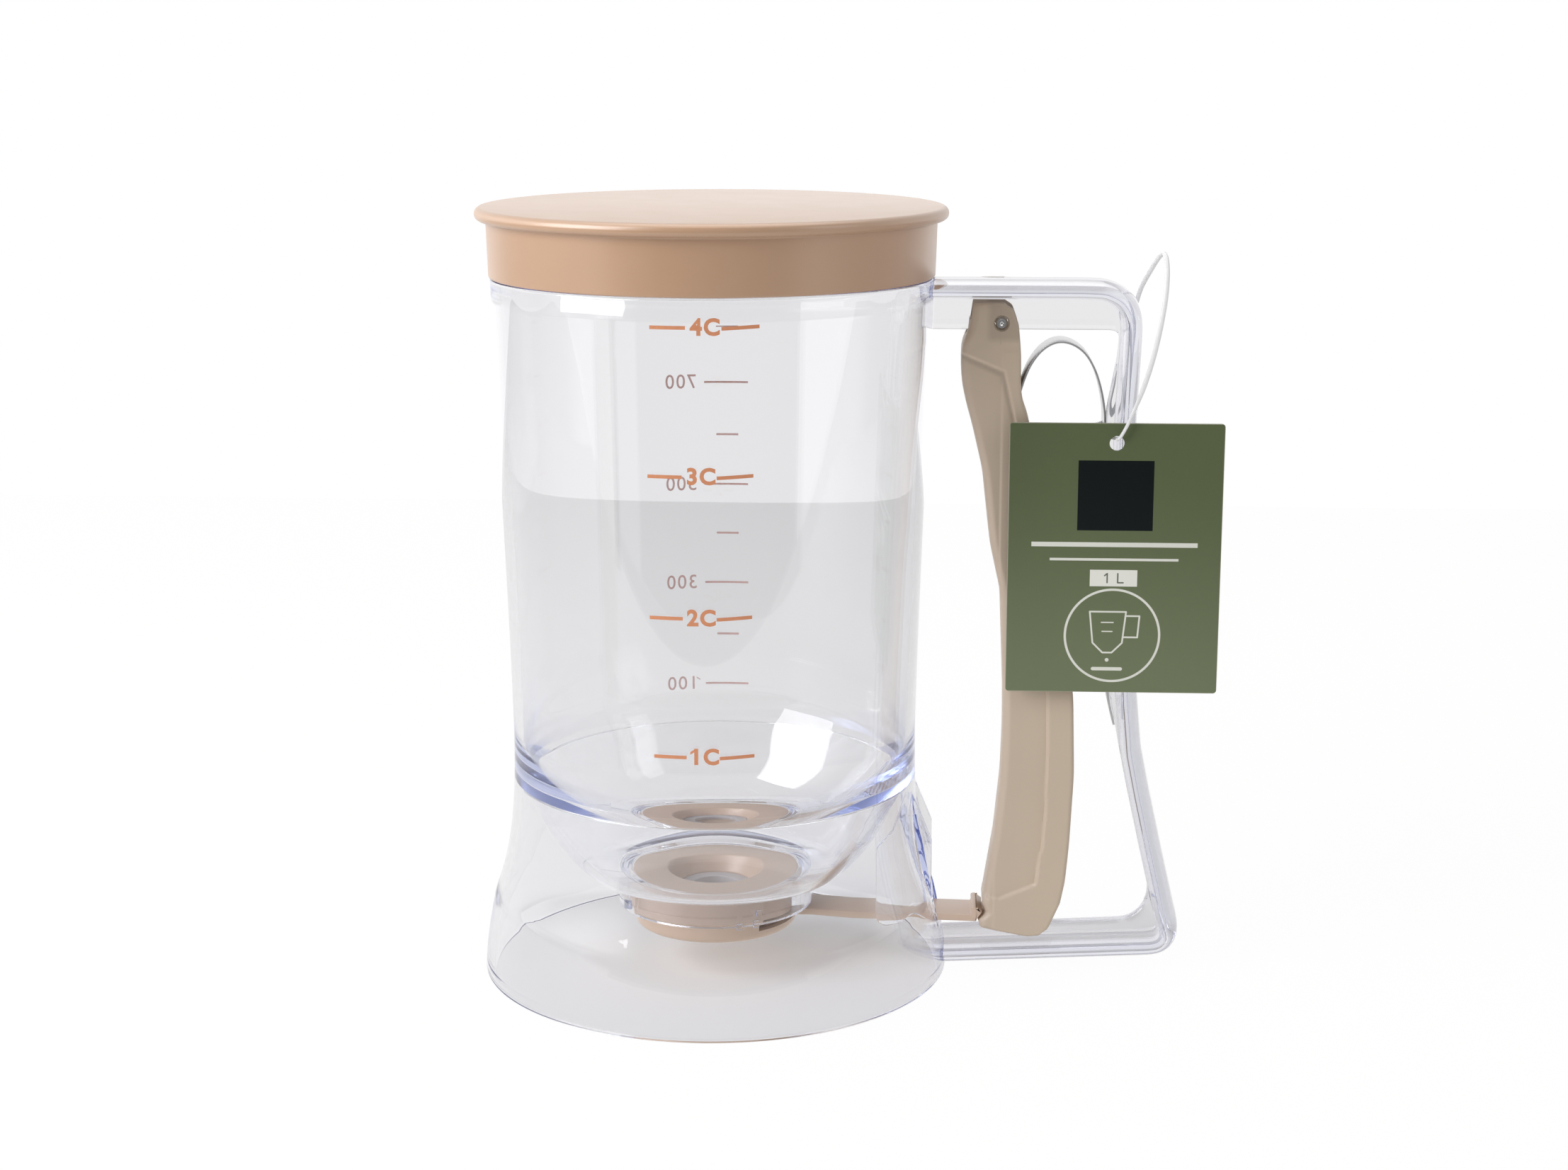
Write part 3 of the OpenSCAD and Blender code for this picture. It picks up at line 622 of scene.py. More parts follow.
def body_profile():
    """One outline for the wall from the foot to the neck and for the bowl that branches off it.  The
    inner side of the wall swings into the bowl's by a term (1 - u)^2.2, where u runs from 0 at the
    bowl to 1 at the fillet's top, so the wall is thick where the two part."""
    outer_z = np.concatenate([np.linspace(0, 60, 46), np.linspace(62, SHOULDER_Z, 58)])
    outer = np.stack([shell_radius(outer_z), outer_z], 1)
    curve = bowl_curve()
    hollow = curve + BOWL_WALL * sideways(curve)
    meet_r, meet_z = hollow[-1]
    inner_z = np.linspace(SHOULDER_Z - 5, meet_z, 110)
    swing = shell_radius(np.array(meet_z)) - WALL - meet_r
    share = np.clip(1 - (inner_z - meet_z) / (FILLET_TOP - meet_z), 0, 1)
    inner = np.stack([shell_radius(inner_z) - WALL - swing * share ** FILLET_POWER, inner_z], 1)
    hollow = eased(np.concatenate([inner[-30:], hollow[-2:1:-1]]), 0.6, 0.8)
    skirt_z = np.linspace(LEDGE_Z - 0.6, 4, 40)
    skirt = np.stack([shell_radius(skirt_z) - WALL, skirt_z], 1)
    hole = COLLAR_BORE - FLOOR_LIP
    base = FLOOR_Z + SEAM
    return outline(
        (outer[:1], 0.6), (outer[1:-1], 0),
        ((TOP_R, SHOULDER_Z), 0.7),
        ((NECK_R, SHOULDER_Z), 0.2),
        ([(NECK_R, NECK_TOP), (NECK_R - NECK_WALL, NECK_TOP)], 0.5),
        ((NECK_R - NECK_WALL, SHOULDER_Z + 0.5), 1.5),
        (inner[:-30], 0), (hollow, 0),
        ([(hole, base + FLOOR_EDGE), (hole, base)], 0.05),
        ([(COLLAR_BORE, base), (COLLAR_BORE, COLLAR_Z), (COLLAR_R, COLLAR_Z)], 0.35),
        ((COLLAR_R, base), 0.8),
        (curve[1:-1], 0),
        ((shell_radius(np.array(LEDGE_Z)) - WALL, LEDGE_Z), 0.25),
        (skirt, 0),
        ((FOOT_R - WALL - 0.1, 2.6), 0.3),
        ((FOOT_R - WALL - 0.1, 0), 0.5))


def panel_x(z):
    """Outer face of the flat panel over the window, straight between its top and its foot."""
    top, low = shell_radius(np.array([PANEL_TOP, PANEL_LOW]))
    return top + (low - PANEL_DROP / 2 - top) * (PANEL_TOP - z) / (PANEL_TOP - PANEL_LOW)


def rib(side):
    """One guide rib: clear of the bowl above, arched over the way of the slide's arm below."""
    loop = outline(
        ((RIB_X, RIB_Z), 3.0), ((RIB_X + 6, RIB_Z), 3.0), ((RIB_X + 9, RIB_Z + 3.2), 2.0),
        ((RIB_X + 13, RIB_Z + 1.5), 1.0), ((FLARE_R - 0.9, RIB_Z), 0), ((FLARE_R - 0.9, LEDGE_Z - 15), 0),
        ((WAIST_R - 0.6, LEDGE_Z - LEDGE_T - 1), 0), ((RIB_X + 6.6, LEDGE_Z - LEDGE_T - 1), 0.5),
        ((RIB_X + 3.6, 36.5), 3.0), ((RIB_X, 32.2), 2.0))
    return slab("rib", loop, RIB_T / 2, 0.25, side * (GUIDE_W + RIB_T) / 2)


def clear_body():
    """The turned wall and bowl, cut open over the slide, with the ribs, the flat panel and the
    collar's nubs joined in and the bayonet grooves cut."""
    piece = turned("clear_body", body_profile(), 220)
    near, far, low = RIB_X + 5, RIB_X + 25, RIB_Z - 1
    opening = [(near, PANEL_TOP), (far, PANEL_TOP), (far, low), (near, low)]
    cutter = slab("cutter", rounded(opening, 0.4), GUIDE_W / 2, 0.4)
    combine(piece, cutter)
    for side in (-1, 1):
        combine(piece, rib(side), "UNION")
    top_x, low_x, over = panel_x(PANEL_TOP), panel_x(PANEL_LOW), PANEL_TOP + 0.6
    panel = [(top_x - 0.02, over), (low_x, PANEL_LOW), (low_x - WALL, PANEL_LOW), (top_x - WALL, over)]
    combine(piece, slab("panel", rounded(panel, 0.4), GUIDE_W / 2 + 0.3, 0.05), "UNION")
    for angle in LUG_ANGLES:
        start = angle - LUG_SPAN / 2 - 1
        end = start + LUG_SPAN
        groove = oblong(COLLAR_BORE - 1, GROOVE_R, GROOVE_Z, GROOVE_Z + GROOVE_H)
        entry = oblong(COLLAR_BORE - 1, GROOVE_R, COLLAR_Z - 1, GROOVE_Z + 1)
        combine(piece, turned("cutter", groove, 30, (start, end + TWIST + 3)))
        combine(piece, turned("cutter", entry, 12, (start + TWIST, end + TWIST + 2)))
    for angle, low, high in NUBS:
        nub = [(COLLAR_R - 0.5, low), (COLLAR_R + 0.5, low), (COLLAR_R + 0.4, high), (COLLAR_R - 0.5, high)]
        combine(piece, turned("nub", rounded(nub, 0.25), 8, (angle - 1.6, angle + 1.6)), "UNION")
    return piece


# ---------- the clear handle ----------
CROWN_RISE, CROWN_EDGE, WEB_HALF = 2.4, 1.8, 1.4
BOSS_R, BOSS_HALF, PIN_BORE = 3.5, 2.2, 1.55

# Stations from the upper root round to the lower one: ridge x, ridge z, web edge x, web edge z
HANDLE_STATIONS = [
    (44.0, 171.2, 44.0, 158.6), (88.0, 171.2, 88.0, 158.6), (93.4, 171.0, 92.2, 158.6),
    (96.7, 169.7, 94.6, 158.6), (99.0, 168.0, 95.6, 158.4), (100.7, 165.7, 96.1, 157.9),
    (101.8, 163.0, 96.3, 157.2), (102.2, 160.0, 96.3, 156.4), (102.0, 152.8, 95.9, 151.6),
    (101.7, 146.0, 95.0, 146.1), (101.4, 139.2, 93.9, 139.8), (101.2, 131.0, 93.8, 131.4),
    (101.2, 123.2, 93.8, 124.0), (101.5, 105.2, 94.2, 105.6), (102.2, 86.0, 95.2, 86.6),
    (103.2, 70.0, 96.2, 70.8), (104.5, 57.0, 98.4, 60.4), (106.7, 46.5, 101.0, 49.0),
    (110.0, 32.0, 104.0, 36.0), (113.2, 18.5, 106.8, 24.6), (114.8, 12.0, 107.2, 19.6),
    (114.8, 8.6, 106.6, 17.0), (113.5, 5.9, 105.4, 15.0), (111.1, 4.0, 103.8, 13.5),
    (108.2, 3.4, 101.6, 12.5), (100.0, 3.0, 97.0, 12.2), (85.0, 2.2, 85.0, 11.5), (46.0, 0.1, 46.0, 9.4)]


def crown_drop(y):
    """How far the crown's outer face falls below its ridge at y: the 2.45th power of the share."""
    return CROWN_RISE * np.abs(y / HANDLE_HALF) ** 2.45


def clear_handle():
    """A crown carried along the ridge with a central web behind it: crown points lie along the
    ridge's normal, web points between the crown's inner face and the web's edge."""
    path = eased(HANDLE_STATIONS, 0.9, 1.3, along=2)
    ridge, edge = path[:, :2], path[:, 2:]
    normal = sideways(ridge)
    inner = CROWN_RISE + CROWN_EDGE
    top = np.array([0, 1.2, 2.4, 3.5, 4.5, 5.4, 6.2])
    side = [(6.75, 2.5), (7.0, 2.95), (7.0, 3.6), (6.8, 4.0), (6.3, inner - 0.1), (5.0, inner + 0.15),
            (3.6, inner + 0.42), (2.4, inner + 0.68), (1.8, inner + 0.85), (WEB_HALF, inner + 1.1)]
    across = np.concatenate([top, [a for a, _ in side]])
    drop = np.concatenate([crown_drop(top), [d for _, d in side]])
    foot = ridge - drop[-1] * normal
    crown = ridge[:, None] - drop[None, :, None] * normal[:, None]
    lean = edge - foot
    length = np.linalg.norm(lean, axis=1, keepdims=True)
    shares = np.array([0.25, 0.5, 0.75])
    rim = np.array([0.75, 0.32, 0.08, 0.0])
    rim_across = np.array([1.38, 1.15, 0.7, 0.0])
    reach = np.concatenate([shares * (length - 1), length - rim], 1)
    web = foot[:, None] + (reach / length)[..., None] * lean[:, None]
    flat = np.concatenate([crown, web], 1)
    across = np.concatenate([across, [WEB_HALF] * 3, rim_across])
    grid = np.stack([flat[..., 0], np.broadcast_to(across, flat.shape[:2]), flat[..., 1]], -1)
    other = grid[:, -2:0:-1] * (1, -1, 1)
    piece = solid("clear_handle", np.concatenate([grid, other], 1), caps=True, sharp=40)
    boss = crosswise(turned("boss", oblong(0, BOSS_R, -BOSS_HALF, BOSS_HALF), 40), *PIVOT)
    combine(piece, boss, "UNION")
    combine(piece, crosswise(turned("bore", oblong(0, PIN_BORE, -9, 9), 40), *PIVOT))
    z = np.linspace(-2, SHOULDER_Z + 4, 90)
    shell = np.stack([shell_radius(z) + SEAM, z], 1)
    shell = np.concatenate([[(0, z[0])], shell, [(0, z[-1])]])
    return combine(piece, turned("shell", shell, 160))


# ---------- lid ----------
RING_IN, RING_OUT, SKIRT_IN, SKIRT_OUT = 48.1, 49.3, 51.6, 52.95


def push_lid():
    """A disc with a rolled rim, a tapered skirt over the neck and a locating ring inside it."""
    low, high = [corner[2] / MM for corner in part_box("lid")]
    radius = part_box("lid")[1][0] / MM
    under = NECK_TOP + 0.3
    profile = outline(
        ((0, under), 0), ((RING_IN, under), 0.4), ([(RING_IN, under - 5), (RING_OUT, under - 5)], 0.4),
        ((RING_OUT, under), 0.2), ((SKIRT_IN, under), 0.2), ([(SKIRT_IN, low), (SKIRT_OUT, low)], 0.4),
        ((SKIRT_OUT + 0.4, under), 0.6), ((radius, under), 1.4), ((radius, high - 0.02), 1.55),
        ((0, high - 0.35), 0))
    return turned("push_lid", profile, 220)


# ---------- lever ----------
CHEEK, FRONT_WALL = 1.5, 1.8
PANEL_DEPTH, PANEL_STEP, CHEEK_STEP = 0.9, 0.6, 0.22
# The lever's edges from the foot up, by offsets from the hook's corner and then from the pin
LEVER_BACK = np.concatenate([
    HOOK + [(9.7, -6.1), (12.8, -5.6), (15.4, -3.6), (18.2, 2.9), (19.3, 8.5), (20.1, 18), (20.9, 36),
            (20.3, 55), (19.6, 61)],
    PIVOT + [(7.1, -23.6), (5.6, -19.6), (4.8, -16), (4.7, -7.1), (4.1, -0.4), (2.7, 3.3), (0.7, 4.6)]])
LEVER_FRONT = np.concatenate([
    HOOK + [(9.7, -6.1), (-1.3, -3.9), (-1.9, -1.9), (0, 0), (-1, 2.5), (-0.1, 8.6), (1.7, 20.1),
            (3.1, 35.1), (3.4, 47), (3.3, 56.3), (2.2, 81)],
    PIVOT + [(-1.9, -53), (-4, -35), (-6.6, -24.2), (-8.1, -19), (-9.2, -14), (-9.4, -9), (-9.3, -5),
             (-7.8, -2.2), (-6.8, 4.8)]])
LEVER_TOP = PIVOT[1] + 4.8
LEVER_LOW = HOOK[1] - 6.1
# The step that bounds the sunk side panel, from the nub at the top round to the hook
PANEL_LINE = np.array([
    (59.0, 153.9), (69.6, 149.5), (72.5, 137.4), (78.0, 95.0), (81.4, 71.3), (81.9, 52.0), (81.4, 35.5),
    (79.4, 22.4), (70.5, 18.5), (67.5, 18.6), (64.0, 20.5)])


def lever_edge(points, z):
    """Where the lever's front or back edge is at height z: straight between its points below the
    panel, eased above it."""
    fine = np.linspace(points[0, 1], points[-1, 1], 900)
    plain = np.interp(fine, points[:, 1], points[:, 0])
    soft = eased(np.stack([plain, fine], 1), 0.4, 1.6, along=2)
    soft = np.interp(fine, soft[:, 1], soft[:, 0])
    share = smoothstep(20, 26, fine) * (1 - smoothstep(LEVER_TOP - 8, LEVER_TOP - 3, fine))
    return np.interp(z, fine, plain * (1 - share) + soft * share)


def inside_panel(x, z):
    """Distance to the panel's step line, positive on its sunk side: there, a level ray meets the line
    an odd number of times."""
    a, b = PANEL_LINE[:-1], PANEL_LINE[1:]
    run = b - a
    point = np.stack([x, z], -1)[..., None, :]
    share = np.clip(((point - a) * run).sum(-1) / (run * run).sum(-1), 0, 1)
    gap = np.linalg.norm(point - a - share[..., None] * run, axis=-1)
    near = gap.argmin(-1)
    climb = np.where(np.abs(run[:, 1]) < 1e-6, 1e-6, run[:, 1])
    crossing = a[:, 0] + (z[..., None] - a[:, 1]) * run[:, 0] / climb
    between = (a[:, 1] > z[..., None]) != (b[:, 1] > z[..., None])
    crossed = between & (x[..., None] < crossing)
    sign = np.where(crossed.sum(-1) % 2 == 1, 1.0, -1.0)
    return sign * np.take_along_axis(gap, near[..., None], -1)[..., 0]


def squeeze_lever():
    """The outline filled by level rings.  A ring's half width is that of the blank less a quarter
    round at each edge, r - sqrt(r^2 - (r - d)^2) for the distance d to the edge, and less the sunk
    panel; the channel, slots and pin hole are then cut."""
    middle = np.linspace(LEVER_LOW + 1.1, LEVER_TOP - 1.3, 360)
    z = np.concatenate([LEVER_LOW + np.array([0, 0.15, 0.4, 0.75]), middle,
                        LEVER_TOP - np.array([0.95, 0.6, 0.3, 0.1, 0])])
    front = lever_edge(LEVER_FRONT, z)[:, None]
    back = lever_edge(LEVER_BACK, z)[:, None]
    t = (1 - np.cos(np.linspace(0, math.pi, 62))) / 2
    t = 0.45 * t + 0.55 * np.linspace(0, 1, 62)
    x = front + (back - front) * t
    high = np.broadcast_to(z[:, None], x.shape)
    bottom = high - (LEVER_LOW + 0.18 * np.abs(x - LEVER_FRONT[0, 0]))
    distance = np.minimum(np.minimum(x - front, back - x), np.minimum(bottom, LEVER_TOP - high))
    radius = 0.9 + 1.5 * smoothstep(6, 0, x - front)
    d = np.clip(distance, 0, radius)
    round_off = radius - np.sqrt(np.maximum(radius ** 2 - (radius - d) ** 2, 0))
    sunk = PANEL_DEPTH * smoothstep(0, PANEL_STEP, inside_panel(x, high))
    behind, below = x - PIVOT[0] - 0.2, high - (PIVOT[1] - 6.6)
    step = CHEEK_STEP * smoothstep(0, 0.5, behind) * smoothstep(0.35, 0, below)
    half = HANDLE_HALF - CHEEK_STEP + step - round_off - sunk
    near = np.stack([x, -half, high], -1)
    far = np.stack([x, half, high], -1)[:, ::-1]
    piece = solid("squeeze_lever", np.concatenate([near, far], 1), caps=True, sharp=50)
    z = np.linspace(LEVER_LOW - 4, LEVER_TOP + 6, 120)
    wall = np.where(z < HOOK[1] + 6, HOOK[0], lever_edge(LEVER_FRONT, z)) + FRONT_WALL
    wall = eased(np.stack([wall, z], 1), 1.0, 1.5)
    beyond = np.stack([wall[:, 0] + 40, wall[:, 1]], 1)
    ring = [wall, wall, beyond, beyond]
    y = np.array([-1, 1, 1, -1]) * (HANDLE_HALF - CHEEK)
    grid = np.stack([np.stack([p[:, 0], np.full(len(p), w), p[:, 1]], -1) for p, w in zip(ring, y)], 1)
    combine(piece, solid("channel", grid, caps=True), sharp=50)
    cuts = [("neck_window", (HOOK[0] - 4, -3.2, HOOK[1] - 8), (HOOK[0] + 2.8, 3.2, HOOK[1] + 2)),
            ("web_slot", (PIVOT[0] - 14, -2, PIVOT[1] - 3.2), (PIVOT[0], 2, PIVOT[1] + 9)),
            ("web_way", (PIVOT[0] - 14, -5.4, PIVOT[1] + 0.5), (PIVOT[0] + 8, 5.4, PIVOT[1] + 9))]
    for name, low, high in cuts:
        combine(piece, block(name, low, high), sharp=50)
    hole = [(0, -9), (1.95, -9), (1.95, -6.72), (1.6, -6.3), (1.6, 6.3), (1.95, 6.72), (1.95, 9), (0, 9)]
    combine(piece, crosswise(turned("pin_hole", hole, 48), *PIVOT), sharp=50)
    return piece


# ---------- pin and spring ----------
def steel_pin():
    """A plain pin with a chamfer and a shallow centre dimple at each end."""
    half, r = 6.55, 1.45
    end = [(0, half - 0.3), (0.35, half - 0.18), (0.55, half), (r - 0.35, half), (r, half - 0.35)]
    profile = np.array([(a, -b) for a, b in end] + end[::-1])
    return crosswise(turned("steel_pin", profile, 48), *PIVOT)


SPRING_T, SPRING_HALF = 0.5, 5.2
SPRING_LINE = np.concatenate([
    PIVOT + [(-1, -39.6), (0.6, -31.6), (4.7, -16.4), (5.4, -13.8), (6.9, -10), (9.2, -6.7), (12, -4.7),
             (14.3, -4.2), (17.4, -5.1)],
    [(88.8, 153.5), (91.1, 149.3), (92.5, 144.7), (93.5, 139.2), (93.45, 125.2), (93.85, 105.2),
     (94.85, 86.0), (95.85, 70.0), (97.45, 63.2)]])


def leaf_strip():
    """A strip along the spring's line, which is half its thickness to either side of it."""
    line = eased(SPRING_LINE, 0.6, 1.5)
    away = sideways(line) * SPRING_T / 2
    loop = np.concatenate([line + away, (line - away)[::-1]])
    return slab("leaf_strip", loop, SPRING_HALF, 0.12)


# ---------- slide ----------
ARM_TOP, ARM_LOW, ARM_HALF, PLATE_R = 15.5, 13.8, 5.7, 7.6


def gate_slide():
    """The arm with its stepped upper line and upright lip, the plate that shuts the outlet, the
    neck through the lever's window and the crosspiece behind its front wall."""
    lip = HOOK[0] - 2.2
    arm = outline(
        ([(0, ARM_TOP), (24, ARM_TOP), (34, 14.8)], 0.0), ((lip - 1.3, 14.25), 0.4),
        ([(lip - 1.35, 16.1), (lip, 16.3)], 0.5), ((lip, 15.9), 0.3), ((HOOK[0] - 0.8, 14.95), 0.25),
        ((lip, 12.9), 0.3), ((lip, 12.5), 0.2), ([(34, 13.1), (24, ARM_LOW), (0, ARM_LOW)], 0.0))
    piece = slab("gate_slide", arm, ARM_HALF, 0.3)
    plate = rounded(oblong(0, PLATE_R, ARM_LOW, ARM_TOP), [0, 0.2, 0.2, 0])
    combine(piece, turned("plate", plate, 64), "UNION")
    combine(piece, block("neck", (lip - 0.3, -2.6, 12.5), (HOOK[0] + 2.4, 2.6, 14.9)), "UNION")
    combine(piece, block("cross", (HOOK[0] + 2.1, -4.8, 12.3), (HOOK[0] + 3.7, 4.8, 15.5)), "UNION")
    return piece


# ---------- valve ----------
NOTCH_HALF = 54


def seat_ring():
    """The dished seat: a flange under the bowl's floor and a body that holds the seal."""
    return turned("seat_ring", outline(
        ([(8.6, 15.8), (18.2, 15.8)], 0.3), ((18.2, 22), 0.3), ([(20.85, 22), (20.85, 23.95)], 0.4),
        ((11.9, 23.95), 1.1), ((9.2, 19.2), 0.9), ([(9.2, 18.42), (7.55, 18.42)], 0.0),
        ([(7.55, 16.62), (8.6, 16.62)], 0.0)))


def seal_grommet():
    """The grommet: a lip below the seat, a neck through it and a flange in its recess."""
    return turned("seal_grommet", outline(
        ([(6, 15.6), (8.55, 15.6), (8.55, 16.58)], 0.25), ([(7.5, 16.58), (7.5, 18.45)], 0.0),
        ([(9.15, 18.45), (9.15, 19.0), (6, 19.0)], 0.25)), 96)


def twist_cap():
    """The bayonet cap: a skirt round the seat, a floor with the outlet's guide ring, a notch for the
    slide's arm and two lugs."""
    profile = outline(
        ((8, 10.7), 0.5), ((20.0, 10.7), 1.6), ((20.0, 15.9), 0.0), ((20.9, 16.4), 0.2),
        ([(20.9, 21.9), (18.5, 21.9)], 0.3), ((18.5, 12.2), 0.5), ((10, 12.2), 0.3),
        ([(10, 13.7), (8, 13.7)], 0.3))
    piece = turned("twist_cap", profile)
    combine(piece, turned("notch", oblong(11, 24, 13.0, 30), 60, (-NOTCH_HALF, NOTCH_HALF)))
    lug = rounded(oblong(19.9, 22.6, 18.6, 20.6), 0.2)
    for angle in LUG_ANGLES:
        span = (angle - LUG_SPAN / 2, angle + LUG_SPAN / 2)
        combine(piece, turned("lug", lug, 12, span), "UNION")
    return piece


# ---------- tag and loop ----------
TAG_W, TAG_H, TAG_T, TAG_TOP = 50.4, 65.2, 0.5, 4.8
PUNCH_R = 1.75


def card_tag():
    """A card with round corners and a punched hole."""
    x0, z1 = TAG_HOLE[0] - TAG_W / 2, TAG_HOLE[2] + TAG_TOP
    corners = oblong(x0, x0 + TAG_W, z1 - TAG_H, z1)
    piece = slab("card_tag", rounded(corners, 0.9, 6), TAG_T / 2, 0.08, TAG_HOLE[1])
    punch = turned("punch", oblong(0, PUNCH_R, 2, 20), 48)
    return combine(piece, crosswise(punch, TAG_HOLE[0], TAG_HOLE[2]))


# The filament's route through the hole, over the handle's corner and back through the window;
# offsets from the hole
LOOP_ROUTE = np.array([
    [-0.1, 0.6, 1], [0.1, -0.6, 1], [0.8, -1.4, 1.9], [2.2, -1.6, 4.6], [4, -1.3, 8.8],
    [5.9, -0.3, 13.4], [7.9, 1.2, 19.6], [9.5, 2.6, 26.4], [10.7, 4.6, 33.2], [11.2, 7, 38.6],
    [11.1, 9.3, 42], [10.6, 11.6, 43.4], [9.6, 13.6, 42.2], [8, 15.8, 39.0], [6, 17.6, 34.6],
    [4.6, 18.0, 29.4], [3.4, 17.8, 23.6], [2.4, 17.6, 17], [1.6, 17.3, 12], [0.9, 16.8, 7.0],
    [-1.6, 15.2, 3.2], [-4.9, 10.6, 2.6], [-4.9, 6.3, 2.6], [-3.2, 3.7, 1.7], [-1.2, 1.8, 1.1]])


def nylon_loop(sides=14):
    """A strip of oval section carried along the closed route, which a cubic through four
    neighbouring points smooths.  It is nearly round, 0.42 in radius, near the hole, and 1.1 wide and
    0.6 thick round the handle, with its flat side towards the front."""
    count = len(LOOP_ROUTE)
    t = np.linspace(0, count, 340, endpoint=False)
    i = t.astype(int)
    f = (t - i)[:, None]
    a, b, c, d = (LOOP_ROUTE[(i + k) % count] for k in (-1, 0, 1, 2))
    path = 0.5 * (2 * b + (c - a) * f + (2 * a - 5 * b + 4 * c - d) * f ** 2
                  + (3 * b - a - 3 * c + d) * f ** 3)
    run = unit(np.roll(path, -1, 0) - np.roll(path, 1, 0))
    across = unit(np.cross(run, np.array([0.05, 1.0, 0.08])))
    thick = np.cross(run, across)
    wide = smoothstep(2.5, 5.5, t) * smoothstep(21.5, 18, t)
    half, thin = (0.40 + 0.16 * wide)[:, None, None], (0.42 - 0.12 * wide)[:, None, None]
    turn = np.linspace(0, 2 * math.pi, sides, endpoint=False)[None, :, None]
    grid = path[:, None] + half * np.cos(turn) * across[:, None] + thin * np.sin(turn) * thick[:, None]
    return solid("nylon_loop", grid + TAG_HOLE, wrap_rows=True)


# ---------- measuring marks ----------
INK_T, INK_LIFT = 0.05, 0.03
BAR_FACES = 12
CUP_AZIMUTH, FAR_AZIMUTH = -88.2, 92.6
# Cups: height, middle and half width of a cup's mark
CUP_MARKS = ((1, 66.2, -0.16, 11.55), (2, 98.9, -0.69, 11.65), (3, 131.4, -0.53, 11.9),
             (4, 164.8, 0.66, 12.2))
FAR_LONG = ((100, 58.7), (300, 85.9), (500, 111.9), (700, 138.5))
FAR_SHORT = ((200, 72.1), (400, 99.0), (600, 124.9), (800, 153.0))


def letters(body, size, weight):
    """Flat outlines of a word, as points and faces in millimetres, centred on the origin."""
    curve = bpy.data.curves.new("word", "FONT")
    curve.body = body
    curve.size = size
    curve.offset = weight
    curve.space_character = 1.14
    curve.resolution_u = 4
    curve.align_x, curve.align_y = "CENTER", "CENTER"
    word = bpy.data.objects.new("word", curve)
    bpy.context.scene.collection.objects.link(word)
    graph = bpy.context.evaluated_depsgraph_get()
    mesh = bpy.data.meshes.new_from_object(word.evaluated_get(graph))
    points = np.empty(len(mesh.vertices) * 3)
    mesh.vertices.foreach_get("co", points)
    faces = [list(face.vertices) for face in mesh.polygons]
    bpy.data.objects.remove(word)
    bpy.data.meshes.remove(mesh)
    return points.reshape(-1, 3)[:, :2], faces


def bar(x0, x1, thick, climb=0.0, lean=0.0, middle=0.0):
    """A printed line as a strip of faces, so that it can bend round the wall; it climbs by the given
    amount from its start to its end, and its upper side is shifted by lean."""
    x = np.linspace(x0, x1, BAR_FACES + 1)
    share = np.linspace(0, 1, BAR_FACES + 1)
    low = np.stack([x, middle + climb * share - thick / 2], 1)
    high = np.stack([x + lean, middle + climb * share + thick / 2], 1)
    i = np.arange(BAR_FACES)
    above = i + BAR_FACES + 1
    return np.concatenate([low, high]), np.stack([i, i + 1, above + 1, above], 1).tolist()


def shifted(shape, x):
    points, faces = shape
    return points + (x, 0), faces


def printed(name, prints, azimuth):
    """Flat prints wrapped on the wall: x runs round it at the wall's radius and y stands for height,
    x -> azimuth + x / r.  The film is INK_T thick and lies INK_LIFT off the plastic."""
    points, faces = [], []
    for (flat, quads), height in prints:
        offset = sum(len(p) for p in points)
        points.append(flat + (0, height))
        faces += [[corner + offset for corner in quad] for quad in quads]
    flat = np.concatenate(points)
    wall = shell_radius(flat[:, 1])
    a = math.radians(azimuth) + flat[:, 0] / wall
    r = wall + INK_LIFT
    film = np.stack([r * np.cos(a), r * np.sin(a), flat[:, 1]], 1) * MM
    mesh = bpy.data.meshes.new(name)
    mesh.from_pydata(film.tolist(), [], faces)
    piece = bpy.data.objects.new(name, mesh)
    bpy.context.scene.collection.objects.link(piece)
    work = bmesh.new()
    work.from_mesh(mesh)
    bmesh.ops.remove_doubles(work, verts=work.verts, dist=1e-6)
    bmesh.ops.recalc_face_normals(work, faces=work.faces)
    work.to_mesh(mesh)
    work.free()
    thick = piece.modifiers.new("film", "SOLIDIFY")
    thick.thickness = INK_T * MM
    thick.offset = 0
    return piece


def cup_marks():
    """A line, the cup count and a line at each whole cup; the count of one has a flag of its own."""
    prints = []
    for count, height, middle, half in CUP_MARKS:
        prints.append((shifted(letters(f"{count}C", 5.1, 0.20), middle + 0.2), height))
        prints.append((bar(middle - half, middle - 0.345 * half, 0.82), height))
        prints.append((bar(middle + 0.31 * half, middle + half, 0.82, 0.42), height - 0.2))
        if count == 1:
            prints.append((bar(middle - 3.15, middle - 2.0, 0.62, 0.75), height + 1.0))
    return printed("cup_marks", prints, CUP_AZIMUTH)


def millilitre_marks():
    """Long ticks with numbers and short ticks between, to be read from the far side."""
    prints = []
    for count, height in FAR_LONG:
        prints.append((shifted(letters(str(count), 5.2, 0.02), 10.4), height))
        prints.append((bar(-7.6, 4.1, 0.52), height))
        if count == 100:
            prints.append((bar(5.6, 6.6, 0.30, 0.6), height + 1.05))
    for _, height in FAR_SHORT:
        prints.append((bar(-5.0, 0.9, 0.52), height))
    return printed("millilitre_marks", prints, FAR_AZIMUTH)


# ---------- stage ----------
CAMERA_AT = (0.04992, -0.62707, 0.23405)
CAMERA_TURN = (77.59, 0.0, 3.0)
CAMERA_LENS = 60.63
